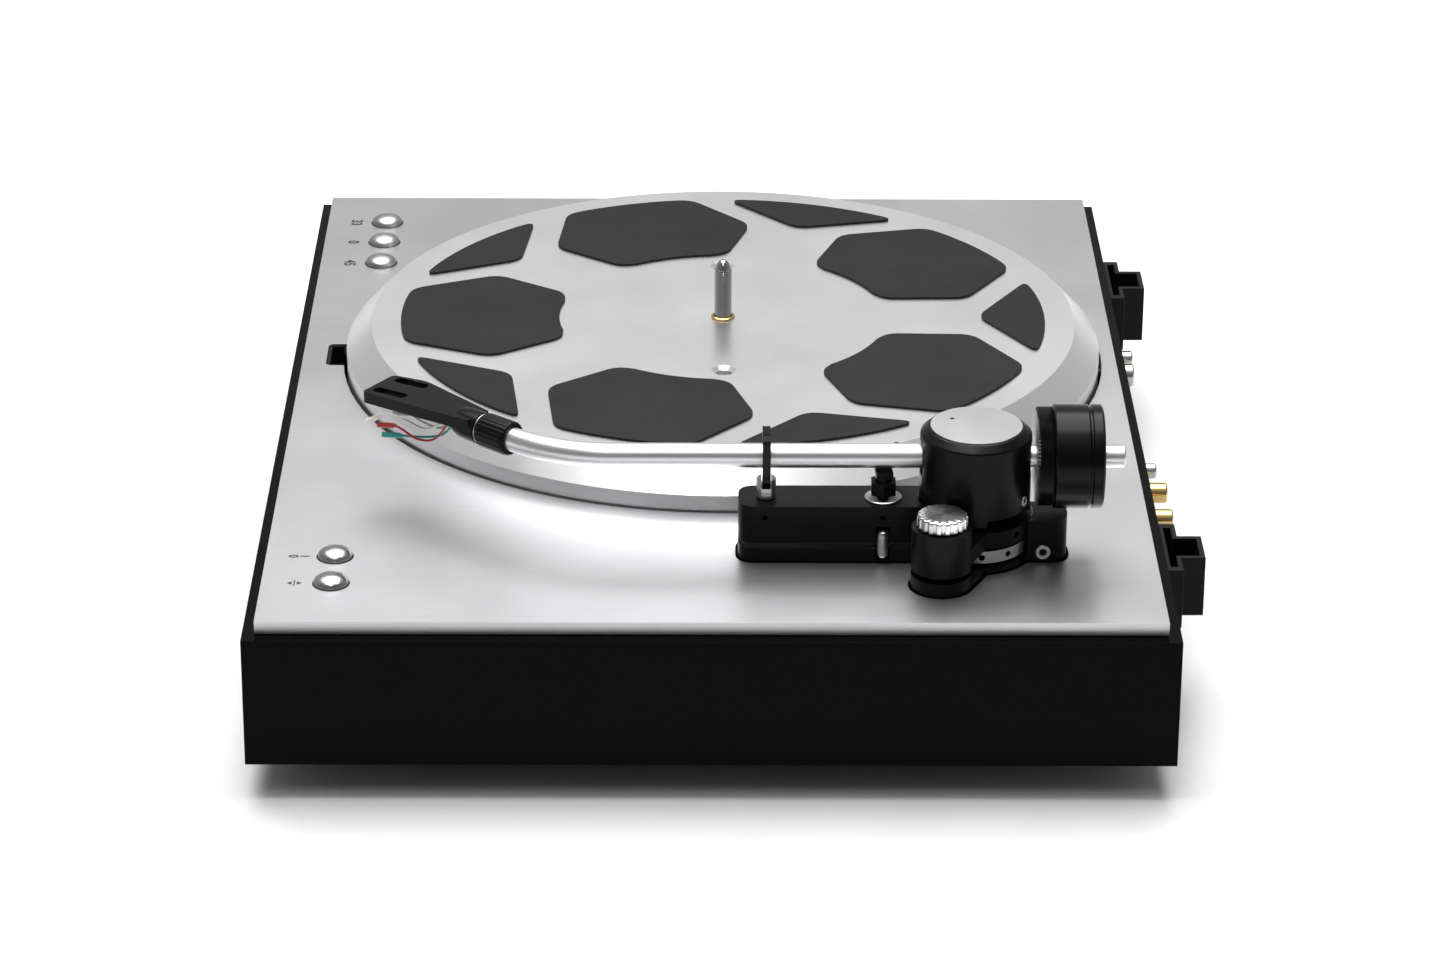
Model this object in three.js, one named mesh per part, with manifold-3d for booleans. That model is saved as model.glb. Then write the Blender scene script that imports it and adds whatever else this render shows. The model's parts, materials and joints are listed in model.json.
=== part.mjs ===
// Belt-drive record player with a floating sub-chassis.
// Millimetres. +X is the operator's right, +Y the back, +Z up, floor at Z = 0.
import * as THREE from 'three';
import { mergeVertices } from 'three/addons/utils/BufferGeometryUtils.js';
import Module from 'manifold-3d';

const wasm = await Module();
wasm.setup();

// ---------------------------------------------------------------- overall
const FIT = 0.3;
const FOOT_H = 15;
const PLINTH_W = 454;
const PLINTH_D = 353;
const PLINTH_H = 52;
const WALL = 10;
const FLANGE = 25;
const FLANGE_T = 4;
const BASE_INSET = 20;
const BASE_T = 2.5;
const FOOT_R = 16;
const FOOT_X = 182;
const FOOT_Y = 114;
const TOP = FOOT_H + PLINTH_H;
const HALF_W = PLINTH_W / 2;
const HALF_D = PLINTH_D / 2;
const BASE_TOP = FOOT_H - FIT;
const BASE_BOTTOM = BASE_TOP - BASE_T;

// ---------------------------------------------------------------- top plate
const PLATE_TOP = TOP + 5.5;
const LEDGE_X = 5.5;
const LEDGE_Y = 4.8;
const SPIN_X = -36.7;
const SPIN_Y = 5.6;
const CUTOUT_R = 160;
const NOTCH_W = 23.2;
const NOTCH_X = -36.4;
const NOTCH_Y = -161.7;
const BUTTON_Y = -145;
const BUTTON_R = 6.7;
const BUTTON_XS = {
  button_33: -190,
  button_stop: -166,
  button_45: -141,
  button_power: 164,
  button_lift: 188,
};

// ---------------------------------------------------------------- platter and drive
const PLATTER_R = 158.6;
const PLATTER_FLAT_R = 148;
const BEVEL_Z = TOP + 12.2;
const PLATTER_Z = TOP + 23.1;
const RIM_R = 146;
const RIM_Z = TOP - 3;
const WEB_Z = TOP + 15.5;
const SPINDLE_R = 3.6;
const SPINDLE_TOP = PLATTER_Z + 26;
const LIFT_HOLE_OFFSET = 57.5;
const PAD_T = 1;
const PAD_OUTER_R = 135.6;
const SUB_R = 85;
const SUB_Z0 = TOP + 1;
const SUB_Z1 = WEB_Z - FIT;
const MOTOR_DIST = 120;
const MOTOR_ANGLE = 225;
const MOTOR_R = 22;
const PULLEY_R = 8;
const BELT_Z = TOP + 6.5;
const BELT_W = 5;
const BELT_T = 0.9;
const BELT_GAP = 0.8;
const CHASSIS_Z0 = 52;
const CHASSIS_Z1 = 57;
const SPRING_POINTS = [[-150, 95], [-20, -125], [172, 40]];
const SPRING_R = 8.5;
const SPRING_WIRE_R = 1.1;
const SPRING_TURNS = 6;

// ---------------------------------------------------------------- arm
const PIVOT_X = 157;
const PIVOT_Y = 101.2;
const ARM_Z = TOP + 45.4;
const TUBE_R = 4.8;
const STUB_R = 4.4;
const STUB_END_Y = 158.8;
const BEND_START_Y = -38;
const BEND_R = 59;
const BEND_ANGLE = 41;
const COLLAR_R = 6.85;
const COLLAR_L = 14.4;
const HEAD_TOP = TOP + 50.2;
const HEAD_T = 4.6;
const CUP_R = 21.5;
const CUP_Z0 = TOP + 24.2;
const CUP_EDGE_Z = TOP + 55.2;
const CUP_Z1 = TOP + 57.9;
const CUP_TOP_R = 18.3;
const CUP_BORE = 17.2;
const DISC_R = 17.6;
const WINDOW_HALF = 5.4;
const RING_R = 22.1;
const VTA_R = 21.3;
const BLOCK_X0 = 148.2;
const BLOCK_X1 = 168.2;
const BLOCK_Y0 = 10.2;
const TOWER_X = 188.5;
const TOWER_Y = 87.2;
const TOWER_R = 11.6;
const KNOB_R = 9.7;
const LOWER_Z0 = CHASSIS_Z1 + FIT;
const LOWER_BLOCK_Z = TOP + 11.2;
const LOWER_RING_Z = TOP + 8.3;
const VTA_Z0 = TOP + 9.5;
const VTA_Z1 = TOP + 14.6;
const UPPER_RING_Z0 = TOP + 16;
const UPPER_RING_Z1 = TOP + 22.4;
const UPPER_BLOCK_Z0 = TOP + 13.6;
const UPPER_BLOCK_Z1 = TOP + 28.8;
const UPPER_TOWER_Z0 = TOP + 13.2;
const UPPER_TOWER_Z1 = TOP + 30.1;
const STEM_R = 9;
const LOBE_X0 = 149;
const LOBE_X1 = 167.4;
const LOBE_Y1 = 137;
const LOBE_Z = TOP + 22.6;
const SEAM = 1;
const PIN_Y = 65.7;
const REST_X = 158.7;
const REST_Y = 20.9;
const REST_POST_R = 3.8;
const REST_POST_Z = TOP + 37;
const REST_PIN_Z = TOP + 34.5;
const HOOK_T = 3.1;
const LIFT_X = 159.3;
const LIFT_Y = 65.9;
const WEIGHT_R = 20;
const WEIGHT_Y0 = 130.6;
const WEIGHT_Y1 = 149.7;
const KNURL_R = 19;
const KNURL_Y0 = 124;

// ---------------------------------------------------------------- rear face
const SOCKET_X = 139.7;
const SOCKET_REACH = 16;
const SOCKET_Z0 = TOP - 26;
const SOCKET_Z1 = TOP - 1;
const JACK_Z = TOP - 25;
const JACK_RECESS = 2.4;

const DEG = Math.PI / 180;
const group = new THREE.Group();
const SHIFT_Y = -SOCKET_REACH / 2;

// ---------------------------------------------------------------- helpers
function solid(geometry) {
  const bare = new THREE.BufferGeometry();
  bare.setAttribute('position', geometry.getAttribute('position').clone());
  if (geometry.index) {
    bare.setIndex(geometry.index.clone());
  }
  const merged = mergeVertices(bare, 1e-4);
  const pos = merged.getAttribute('position').array;
  const src = merged.index.array;
  const tris = [];
  let volume = 0;
  for (let i = 0; i < src.length; i += 3) {
    const [a, b, c] = [src[i], src[i + 1], src[i + 2]];
    if (a === b || b === c || a === c) {
      continue;
    }
    tris.push(a, b, c);
    const va = new THREE.Vector3().fromArray(pos, a * 3);
    const vb = new THREE.Vector3().fromArray(pos, b * 3);
    const vc = new THREE.Vector3().fromArray(pos, c * 3);
    volume += va.dot(vb.cross(vc));
  }
  if (volume < 0) {
    for (let i = 0; i < tris.length; i += 3) {
      [tris[i + 1], tris[i + 2]] = [tris[i + 2], tris[i + 1]];
    }
  }
  return new wasm.Manifold(new wasm.Mesh({
    numProp: 3,
    vertProperties: new Float32Array(pos),
    triVerts: new Uint32Array(tris),
  }));
}

function add(name, body, color, roughness, metalness) {
  const mesh = body.getMesh();
  const indexed = new THREE.BufferGeometry();
  indexed.setAttribute('position', new THREE.Float32BufferAttribute(mesh.vertProperties, 3));
  indexed.setIndex(new THREE.Uint32BufferAttribute(mesh.triVerts, 1));
  indexed.translate(0, SHIFT_Y, 0);
  indexed.computeVertexNormals();
  const material = new THREE.MeshStandardMaterial({ color, roughness, metalness });
  const node = new THREE.Mesh(indexed, material);
  node.name = name;
  group.add(node);
}

function box(x0, x1, y0, y1, z0, z1) {
  const g = new THREE.BoxGeometry(x1 - x0, y1 - y0, z1 - z0);
  g.translate((x0 + x1) / 2, (y0 + y1) / 2, (z0 + z1) / 2);
  return solid(g);
}

function extrude(points, z0, z1) {
  const g = new THREE.ExtrudeGeometry(new THREE.Shape(points), { depth: z1 - z0, bevelEnabled: false });
  g.translate(0, 0, z0);
  return solid(g);
}

function circlePoints(cx, cy, r, sides) {
  const pts = [];
  for (let i = 0; i < sides; i++) {
    const a = (i / sides) * 2 * Math.PI;
    pts.push(new THREE.Vector2(cx + r * Math.cos(a), cy + r * Math.sin(a)));
  }
  return pts;
}

function cyl(cx, cy, r, z0, z1, sides = 32) {
  return extrude(circlePoints(cx, cy, r, sides), z0, z1);
}

function lathe(cx, cy, profile, sides = 32) {
  const g = new THREE.LatheGeometry(profile.map(([r, z]) => new THREE.Vector2(r, z)), sides);
  g.rotateX(Math.PI / 2);
  g.translate(cx, cy, 0);
  return solid(g);
}

// A turned piece whose axis runs along +Y from (x, y, z).
function latheY(x, y, z, profile, sides = 32) {
  const g = new THREE.LatheGeometry(profile.map(([r, l]) => new THREE.Vector2(r, l)), sides);
  g.translate(x, y, z);
  return solid(g);
}

function moved(geometryBody, matrix) {
  return geometryBody.transform(Array.from(matrix.elements));
}

// Corner list [x, y, radius] turned into a smooth closed outline.
function rounded(corners, steps = 4) {
  const out = [];
  const n = corners.length;
  for (let i = 0; i < n; i++) {
    const p = new THREE.Vector2(corners[i][0], corners[i][1]);
    const cut = corners[i][2];
    if (!cut) {
      out.push(p);
      continue;
    }
    const prev = corners[(i + n - 1) % n];
    const next = corners[(i + 1) % n];
    const a = new THREE.Vector2(prev[0], prev[1]).sub(p).normalize().multiplyScalar(cut).add(p);
    const b = new THREE.Vector2(next[0], next[1]).sub(p).normalize().multiplyScalar(cut).add(p);
    out.push(...new THREE.QuadraticBezierCurve(a, p, b).getPoints(steps));
  }
  return out;
}

function roundedBox(x0, x1, y0, y1, z0, z1, r, steps = 4) {
  return extrude(rounded([[x0, y0, r], [x1, y0, r], [x1, y1, r], [x0, y1, r]], steps), z0, z1);
}

// Outline of two circles joined by their outer tangents.
function linkPoints(ax, ay, ar, bx, by, br, sides = 16) {
  const dir = Math.atan2(by - ay, bx - ax);
  const open = Math.acos((ar - br) / Math.hypot(bx - ax, by - ay));
  const pts = [];
  for (let i = 0; i <= sides; i++) {
    const t = dir + open + (i / sides) * (2 * Math.PI - 2 * open);
    pts.push(new THREE.Vector2(ax + ar * Math.cos(t), ay + ar * Math.sin(t)));
  }
  for (let i = 0; i <= sides; i++) {
    const t = dir - open + (i / sides) * 2 * open;
    pts.push(new THREE.Vector2(bx + br * Math.cos(t), by + br * Math.sin(t)));
  }
  return pts;
}

// Round bar along a curve.
function bar(curve, radius, sides, steps) {
  const ring = new THREE.Shape(circlePoints(0, 0, radius, sides));
  return solid(new THREE.ExtrudeGeometry(ring, { extrudePath: curve, steps, bevelEnabled: false }));
}

function polar(angle, r) {
  return [SPIN_X + r * Math.cos(angle * DEG), SPIN_Y + r * Math.sin(angle * DEG)];
}

// ---------------------------------------------------------------- plinth
let frameBody = box(-HALF_W, HALF_W, -HALF_D, HALF_D, FOOT_H, TOP);
frameBody = frameBody.subtract(
  box(-HALF_W + WALL, HALF_W - WALL, -HALF_D + WALL, HALF_D - WALL, FOOT_H + FLANGE_T, TOP + 1));
frameBody = frameBody.subtract(
  box(-HALF_W + FLANGE, HALF_W - FLANGE, -HALF_D + FLANGE, HALF_D - FLANGE, FOOT_H - 1, TOP));

const JACKS = {
  rca_jack_left: { x: 62, r: 4.2, tip: 12 },
  rca_jack_right: { x: 36, r: 4.2, tip: 12 },
  ground_post: { x: 14, r: 3.2, tip: 9.5 },
  power_socket: { x: -88, r: 5, tip: 8.5 },
  trigger_socket: { x: -106, r: 3.6, tip: 9.5 },
};
for (const jack of Object.values(JACKS)) {
  frameBody = frameBody.subtract(moved(
    cyl(0, 0, jack.r + FIT, 0, 2 * WALL, 16),
    new THREE.Matrix4().makeTranslation(jack.x, HALF_D + 5, JACK_Z)
      .multiply(new THREE.Matrix4().makeRotationX(Math.PI / 2))));
}
add('plinth_frame', frameBody, 0x0b0b0c, 0.15, 0);

add('base_plate', roundedBox(
  -HALF_W + BASE_INSET, HALF_W - BASE_INSET, -HALF_D + BASE_INSET, HALF_D - BASE_INSET,
  BASE_BOTTOM, BASE_TOP, 8), 0x202022, 0.7, 0.2);

const FOOT_NODES = {
  foot_front_left: [-1, -1],
  foot_front_right: [1, -1],
  foot_rear_left: [-1, 1],
  foot_rear_right: [1, 1],
};
for (const [name, [sx, sy]] of Object.entries(FOOT_NODES)) {
  add(name, lathe(sx * FOOT_X, sy * FOOT_Y, [
    [0, 0], [FOOT_R - 3, 0], [FOOT_R - 1.5, 1.2], [FOOT_R - 1.5, 4], [FOOT_R, 5],
    [FOOT_R, BASE_BOTTOM - FIT - 1], [FOOT_R - 1, BASE_BOTTOM - FIT], [0, BASE_BOTTOM - FIT]], 24),
    0x161617, 0.85, 0);
}

// ---------------------------------------------------------------- arm base outlines
function armOutline(grow, z0, z1, ringZ1, towerZ0, towerZ1) {
  const block = roundedBox(BLOCK_X0 - grow, BLOCK_X1 + grow, BLOCK_Y0 - grow, PIVOT_Y, z0, z1, 7 + grow, 5);
  const ring = cyl(PIVOT_X, PIVOT_Y, RING_R + grow, z0, ringZ1, 48);
  const link = extrude(linkPoints(PIVOT_X, PIVOT_Y, 13 + grow, TOWER_X, TOWER_Y, TOWER_R + grow), z0, ringZ1);
  const tower = cyl(TOWER_X, TOWER_Y, TOWER_R + grow, towerZ0, towerZ1, 32);
  return block.add(ring).add(link).add(tower);
}

function lobeBody(grow, z0, z1) {
  const half = (LOBE_X1 - LOBE_X0) / 2;
  return roundedBox(LOBE_X0 - grow, LOBE_X1 + grow, PIVOT_Y + half, LOBE_Y1 + grow, z0, z1, 8, 5);
}

const baseCutter = armOutline(SEAM, TOP - 2, PLATE_TOP + 2, PLATE_TOP + 2, TOP - 2, PLATE_TOP + 2)
  .add(lobeBody(SEAM, TOP - 2, PLATE_TOP + 2));

// ---------------------------------------------------------------- top plate
let plate = box(
  -HALF_W + LEDGE_X, HALF_W - LEDGE_X, -HALF_D + LEDGE_Y, HALF_D - LEDGE_Y, TOP + FIT, PLATE_TOP);
plate = plate.subtract(cyl(SPIN_X, SPIN_Y, CUTOUT_R, TOP - 1, PLATE_TOP + 1, 96));
plate = plate.subtract(roundedBox(
  NOTCH_X - NOTCH_W / 2, NOTCH_X + NOTCH_W / 2, NOTCH_Y, NOTCH_Y + 20, TOP - 1, PLATE_TOP + 1, 3));
plate = plate.subtract(baseCutter);
for (const x of Object.values(BUTTON_XS)) {
  plate = plate.subtract(cyl(x, BUTTON_Y, BUTTON_R + 0.5, TOP - 1, PLATE_TOP + 1, 32));
}
add('top_plate', plate, 0xc4c5c8, 0.35, 1);

const NOTCH_WALL = 1.4;
const notchHalf = NOTCH_W / 2 - FIT;
let notch = roundedBox(
  NOTCH_X - notchHalf, NOTCH_X + notchHalf, NOTCH_Y + FIT, NOTCH_Y + 6.6, TOP - 5, PLATE_TOP - 0.4, 2);
notch = notch.add(box(NOTCH_X - 16, NOTCH_X + 16, NOTCH_Y - 3, NOTCH_Y + 6.6, TOP - 5, TOP));
notch = notch.subtract(box(
  NOTCH_X - notchHalf + NOTCH_WALL, NOTCH_X + notchHalf - NOTCH_WALL,
  NOTCH_Y + FIT + NOTCH_WALL, NOTCH_Y + 10, TOP - 2.5, PLATE_TOP + 1));
add('notch_insert', notch, 0x111112, 0.6, 0);

for (const [name, x] of Object.entries(BUTTON_XS)) {
  add(name, lathe(x, BUTTON_Y, [
    [0, TOP - 6], [BUTTON_R, TOP - 6], [BUTTON_R, PLATE_TOP + 0.8], [BUTTON_R - 0.7, PLATE_TOP + 2],
    [BUTTON_R - 2.4, PLATE_TOP + 3.1], [BUTTON_R - 4.6, PLATE_TOP + 3.8], [0, PLATE_TOP + 4]], 20),
    0xe4e4e6, 0.08, 1);
}

// ---------------------------------------------------------------- rear fittings
for (const [name, side] of [['hinge_socket_left', -1], ['hinge_socket_right', 1]]) {
  const cx = side * SOCKET_X;
  const y0 = HALF_D + 0.1;
  const y1 = HALF_D + SOCKET_REACH;
  let s = box(cx - 21.6, cx + 21.6, y0, HALF_D + 6.5, SOCKET_Z0, SOCKET_Z1);
  s = s.add(box(cx - 10.2, cx + 10.2, y0, y1, SOCKET_Z0, SOCKET_Z1));
  s = s.subtract(box(cx - 18, cx + 18, y0 + 1.6, HALF_D + 4.4, SOCKET_Z0 + 2, SOCKET_Z1 + 1));
  s = s.subtract(box(cx - 7.8, cx + 7.8, HALF_D + 4, y1 - 2.2, SOCKET_Z0 + 2, SOCKET_Z1 + 1));
  add(name, s, 0x18181a, 0.5, 0);
}

const gold = 0xc9a04a;
const nickel = 0xc8c9cc;
for (const [name, jack] of Object.entries(JACKS)) {
  const inner = HALF_D - WALL - 4;
  const out = HALF_D + jack.tip - inner;
  const face = HALF_D + 0.1 - inner;
  const isRca = name.startsWith('rca');
  const shoulder = isRca ? jack.r + 1.6 : jack.r + 1.2;
  const body = latheY(jack.x, inner, JACK_Z, [
    [0, 0], [jack.r, 0], [jack.r, face], [shoulder, face], [shoulder, face + 2], [jack.r, face + 2],
    [jack.r, out - 0.6], [jack.r - 0.6, out], [jack.r - 1.4, out], [jack.r - 1.4, out - JACK_RECESS],
    [0, out - JACK_RECESS]], 16);
  add(name, body, isRca ? gold : nickel, 0.25, 1);
}

// ---------------------------------------------------------------- sub-chassis
const CHASSIS_PTS = rounded([[-172, 92, 14], [-32, -146, 16], [4, -146, 16], [196, 28, 20], [196, 112, 15],
  [172, 136, 15], [-150, 120, 18]], 5);
let chassis = extrude(CHASSIS_PTS, CHASSIS_Z0, CHASSIS_Z1);
chassis = chassis.add(cyl(SPIN_X, SPIN_Y, 14, TOP - 37, SUB_Z0 - 1.5, 32));
chassis = chassis.subtract(cyl(SPIN_X, SPIN_Y, SPINDLE_R + 0.9, TOP - 34, TOP + 4, 32));
add('sub_chassis', chassis, 0x2b2c2f, 0.6, 0.5);

SPRING_POINTS.forEach(([x, y], n) => {
  const z0 = BASE_TOP + FIT + SPRING_WIRE_R;
  const z1 = CHASSIS_Z0 - FIT - SPRING_WIRE_R;
  const steps = SPRING_TURNS * 8;
  const pts = [];
  for (let i = 0; i <= steps; i++) {
    const a = (i / steps) * SPRING_TURNS * 2 * Math.PI;
    pts.push(new THREE.Vector3(
      x + SPRING_R * Math.cos(a), y + SPRING_R * Math.sin(a), z0 + (z1 - z0) * (i / steps)));
  }
  const helix = new THREE.CatmullRomCurve3(pts);
  add(`suspension_spring_${n + 1}`, bar(helix, SPRING_WIRE_R, 5, steps), 0xb8babd, 0.35, 1);
});

// ---------------------------------------------------------------- drive
const [motorX, motorY] = polar(MOTOR_ANGLE, MOTOR_DIST);
add('motor', lathe(motorX, motorY, [
  [0, FOOT_H], [MOTOR_R, FOOT_H], [MOTOR_R, TOP - 6], [MOTOR_R - 2, TOP - 4], [6, TOP - 4], [6, TOP - 2],
  [0, TOP - 2]], 28), 0x8f9194, 0.4, 0.9);
add('motor_pulley', lathe(motorX, motorY, [
  [0, TOP - 1.6], [2, TOP - 1.6], [2, TOP + 3.6], [PULLEY_R + 1, TOP + 3.6], [PULLEY_R + 1, TOP + 4.6],
  [PULLEY_R, TOP + 5.4], [PULLEY_R, TOP + 11.4], [0, TOP + 11.4]], 24), 0xc9a04a, 0.3, 1);
const beltIn = linkPoints(SPIN_X, SPIN_Y, SUB_R + BELT_GAP, motorX, motorY, PULLEY_R + BELT_GAP, 28);
const beltOut = linkPoints(
  SPIN_X, SPIN_Y, SUB_R + BELT_GAP + BELT_T, motorX, motorY, PULLEY_R + BELT_GAP + BELT_T, 28);
add('drive_belt', extrude(beltOut, BELT_Z, BELT_Z + BELT_W)
  .subtract(extrude(beltIn, BELT_Z - 1, BELT_Z + BELT_W + 1)), 0x141414, 0.8, 0);

add('sub_platter', lathe(SPIN_X, SPIN_Y, [
  [0, TOP - 32], [SPINDLE_R + 0.5, TOP - 32], [SPINDLE_R + 0.5, SUB_Z0 - 1], [12, SUB_Z0 - 1],
  [12, SUB_Z0 + 4],
  [SUB_R - 8, SUB_Z0 + 4], [SUB_R - 8, SUB_Z0], [SUB_R, SUB_Z0], [SUB_R, SUB_Z1], [SPINDLE_R, SUB_Z1],
  [SPINDLE_R, SPINDLE_TOP - 5], [1, SPINDLE_TOP], [0, SPINDLE_TOP]], 48), 0xbfc0c4, 0.2, 1);

let platter = lathe(SPIN_X, SPIN_Y, [
  [SPINDLE_R + FIT, WEB_Z], [RIM_R, WEB_Z], [RIM_R, RIM_Z], [PLATTER_R, RIM_Z], [PLATTER_R, BEVEL_Z],
  [PLATTER_FLAT_R, PLATTER_Z], [SPINDLE_R + FIT, PLATTER_Z], [SPINDLE_R + FIT, WEB_Z]], 96);
for (const side of [-1, 1]) {
  platter = platter.subtract(lathe(SPIN_X + side * LIFT_HOLE_OFFSET, SPIN_Y, [
    [0, WEB_Z - 1], [3.5, WEB_Z - 1], [3.5, PLATTER_Z - 1.6], [5.2, PLATTER_Z + 0.1], [5.2, PLATTER_Z + 1],
    [0, PLATTER_Z + 1]], 24));
}
add('platter', platter, 0xd2d3d6, 0.25, 1);

add('spindle_ring', lathe(SPIN_X, SPIN_Y, [
  [SPINDLE_R + FIT, PLATTER_Z + 0.1], [5, PLATTER_Z + 0.1], [5, PLATTER_Z + 0.6], [4.4, PLATTER_Z + 1],
  [SPINDLE_R + FIT, PLATTER_Z + 1], [SPINDLE_R + FIT, PLATTER_Z + 0.1]], 24), 0xb98a3c, 0.3, 1);

// Pad corners in polar form [radius, angle from the pad's centre line, corner cut].
function padOutline(heading, corners) {
  return rounded(corners.map(([r, a, cut]) => [...polar(heading + a, r), cut]), 3);
}

function arc(r, a0, a1, steps) {
  const out = [];
  for (let i = 0; i <= steps; i++) {
    out.push([r, a0 + (a1 - a0) * (i / steps), 0]);
  }
  return out;
}

const LARGE_PAD = [
  [PAD_OUTER_R, -12.3, 6], ...arc(PAD_OUTER_R, -8, 8, 4), [PAD_OUTER_R, 12.3, 6], [106, 24.8, 6],
  [71.5, 20, 5], ...arc(69, 14, -14, 4), [71.5, -20, 5], [106, -24.8, 6]];
const SMALL_PAD = [
  [107.5, 0, 6], [PAD_OUTER_R, -16.5, 6], ...arc(PAD_OUTER_R, -12, 12, 5), [PAD_OUTER_R, 16.5, 6]];
for (let i = 0; i < 5; i++) {
  const large = padOutline(270 + 72 * i, LARGE_PAD);
  const small = padOutline(90 + 72 * i, SMALL_PAD);
  add(`pad_large_${i + 1}`, extrude(large, PLATTER_Z + 0.1, PLATTER_Z + PAD_T), 0x3c3c3f, 0.9, 0);
  add(`pad_small_${i + 1}`, extrude(small, PLATTER_Z + 0.1, PLATTER_Z + PAD_T), 0x3c3c3f, 0.9, 0);
}

// ---------------------------------------------------------------- arm base, lower half
const black = 0x141416;
let lower = armOutline(0, LOWER_Z0, LOWER_BLOCK_Z, LOWER_RING_Z, LOWER_Z0, TOP + 11);
lower = lower.subtract(cyl(PIVOT_X, PIVOT_Y, VTA_R + 0.6, LOWER_RING_Z, LOWER_BLOCK_Z + 1, 64));
const lobe = lobeBody(0, LOWER_Z0, LOBE_Z)
  .subtract(cyl(PIVOT_X, PIVOT_Y, RING_R + 0.6, LOWER_RING_Z, LOBE_Z + 1, 64));
lower = lower.add(lobe);
lower = lower.subtract(cyl(PIVOT_X, PIVOT_Y, STEM_R + 0.4, LOWER_Z0 - 1, LOBE_Z, 48));
lower = lower.subtract(cyl(BLOCK_X1, PIN_Y, 2.8, TOP + 6.8, LOWER_BLOCK_Z + 1, 16));
lower = lower.add(moved(cyl(0, 0, 2.7, 0, 2.4, 16), new THREE.Matrix4()
  .makeTranslation(LOBE_X1 - 1.2, 127.4, TOP + 10.1)
  .multiply(new THREE.Matrix4().makeRotationY(Math.PI / 2))));
add('arm_base_lower', lower, black, 0.45, 0.6);

add('guide_pin', lathe(BLOCK_X1 - 0.1, PIN_Y, [
  [0, TOP + 7.4], [1.6, TOP + 7.9], [2.4, TOP + 9.2], [2.4, TOP + 16.8], [1.6, TOP + 18.4],
  [0, TOP + 19]], 16),
  0xc8c9cc, 0.3, 1);

add('height_ring', lathe(PIVOT_X, PIVOT_Y, [
  [STEM_R + 0.4, VTA_Z0], [VTA_R, VTA_Z0], [VTA_R, VTA_Z1], [STEM_R + 0.4, VTA_Z1],
  [STEM_R + 0.4, VTA_Z0]], 40),
  0xc8c9cc, 0.3, 1);

// ---------------------------------------------------------------- arm base, upper half
let upper = armOutline(0, UPPER_RING_Z0, UPPER_BLOCK_Z1, UPPER_RING_Z1, UPPER_TOWER_Z0, UPPER_TOWER_Z1);
upper = upper.add(roundedBox(BLOCK_X0, BLOCK_X1, BLOCK_Y0, PIVOT_Y, UPPER_BLOCK_Z0, UPPER_RING_Z0 + 1, 7, 5)
  .subtract(cyl(PIVOT_X, PIVOT_Y, VTA_R + 0.6, UPPER_BLOCK_Z0 - 1, UPPER_RING_Z0, 64)));
upper = upper.subtract(cyl(PIVOT_X, PIVOT_Y, CUP_R + 0.6, UPPER_RING_Z1, UPPER_TOWER_Z1 + 1, 64));
upper = upper.add(cyl(PIVOT_X, PIVOT_Y, STEM_R, LOWER_Z0 + 1.2, UPPER_RING_Z0 + 1, 48));
upper = upper.subtract(cyl(PIVOT_X, PIVOT_Y, 4.4, TOP + 2, UPPER_RING_Z1 + 1, 32));
upper = upper.subtract(cyl(BLOCK_X1, PIN_Y, 2.8, UPPER_BLOCK_Z0 - 1, TOP + 20.4, 16));
upper = upper.subtract(cyl(LIFT_X, LIFT_Y, 2.4, TOP + 18, UPPER_BLOCK_Z1 + 1, 20));
for (const y of [20.4, 65.6]) {
  upper = upper.subtract(moved(cyl(0, 0, 1.1, 0, 4, 12), new THREE.Matrix4()
    .makeTranslation(BLOCK_X1 - 3, y, TOP + 24.1).multiply(new THREE.Matrix4().makeRotationY(Math.PI / 2))));
}
add('arm_base_upper', upper, black, 0.45, 0.6);

const KNOB_FLUTES = 18;
let knob = lathe(TOWER_X, TOWER_Y, [
  [0, UPPER_TOWER_Z1 + FIT], [KNOB_R, UPPER_TOWER_Z1 + FIT], [KNOB_R, UPPER_TOWER_Z1 + 4.6],
  [KNOB_R - 0.6, UPPER_TOWER_Z1 + 5.2], [0, UPPER_TOWER_Z1 + 5.2]], 48);
for (let i = 0; i < KNOB_FLUTES; i++) {
  const a = (i / KNOB_FLUTES) * 2 * Math.PI;
  knob = knob.subtract(cyl(
    TOWER_X + (KNOB_R + 0.35) * Math.cos(a), TOWER_Y + (KNOB_R + 0.35) * Math.sin(a), 0.9,
    UPPER_TOWER_Z1, UPPER_TOWER_Z1 + 6, 6));
}
add('antiskate_knob', knob, 0xd6d7da, 0.2, 1);

let post = cyl(REST_X, REST_Y, REST_POST_R, UPPER_BLOCK_Z1 + FIT, REST_POST_Z, 28);
post = post.subtract(box(REST_X - 5, REST_X + 5, REST_Y - HOOK_T / 2 - FIT, REST_Y + HOOK_T / 2 + FIT,
  REST_PIN_Z - 4, REST_POST_Z + 1));
post = post.add(latheY(REST_X, REST_Y - 3.2, REST_PIN_Z, [[0, 0], [0.9, 0], [0.9, 6.4], [0, 6.4]], 12));
add('rest_post', post, 0xb9babd, 0.3, 1);

const HOOK_PTS = rounded([
  [-2.2, -1.2, 0.8], [2.2, -1.9, 0.8], [6.2, 2.4, 1.5], [6.9, 6, 0], [6.9, 21.9, 4], [-5.7, 21.9, 1.5],
  [-6.2, 19.2, 1], [3.9, 19.2, 2], [3.9, 5, 1.5], [1.8, 2.6, 1], [-2, 2.1, 0.8]], 3);
let hook = extrude(HOOK_PTS, -HOOK_T / 2, HOOK_T / 2).subtract(cyl(0, 0, 1.2, -3, 3, 16));
hook = moved(hook, new THREE.Matrix4().makeTranslation(REST_X, REST_Y, REST_PIN_Z)
  .multiply(new THREE.Matrix4().makeRotationX(Math.PI / 2)));
add('rest_hook', hook, black, 0.4, 0.3);

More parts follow.
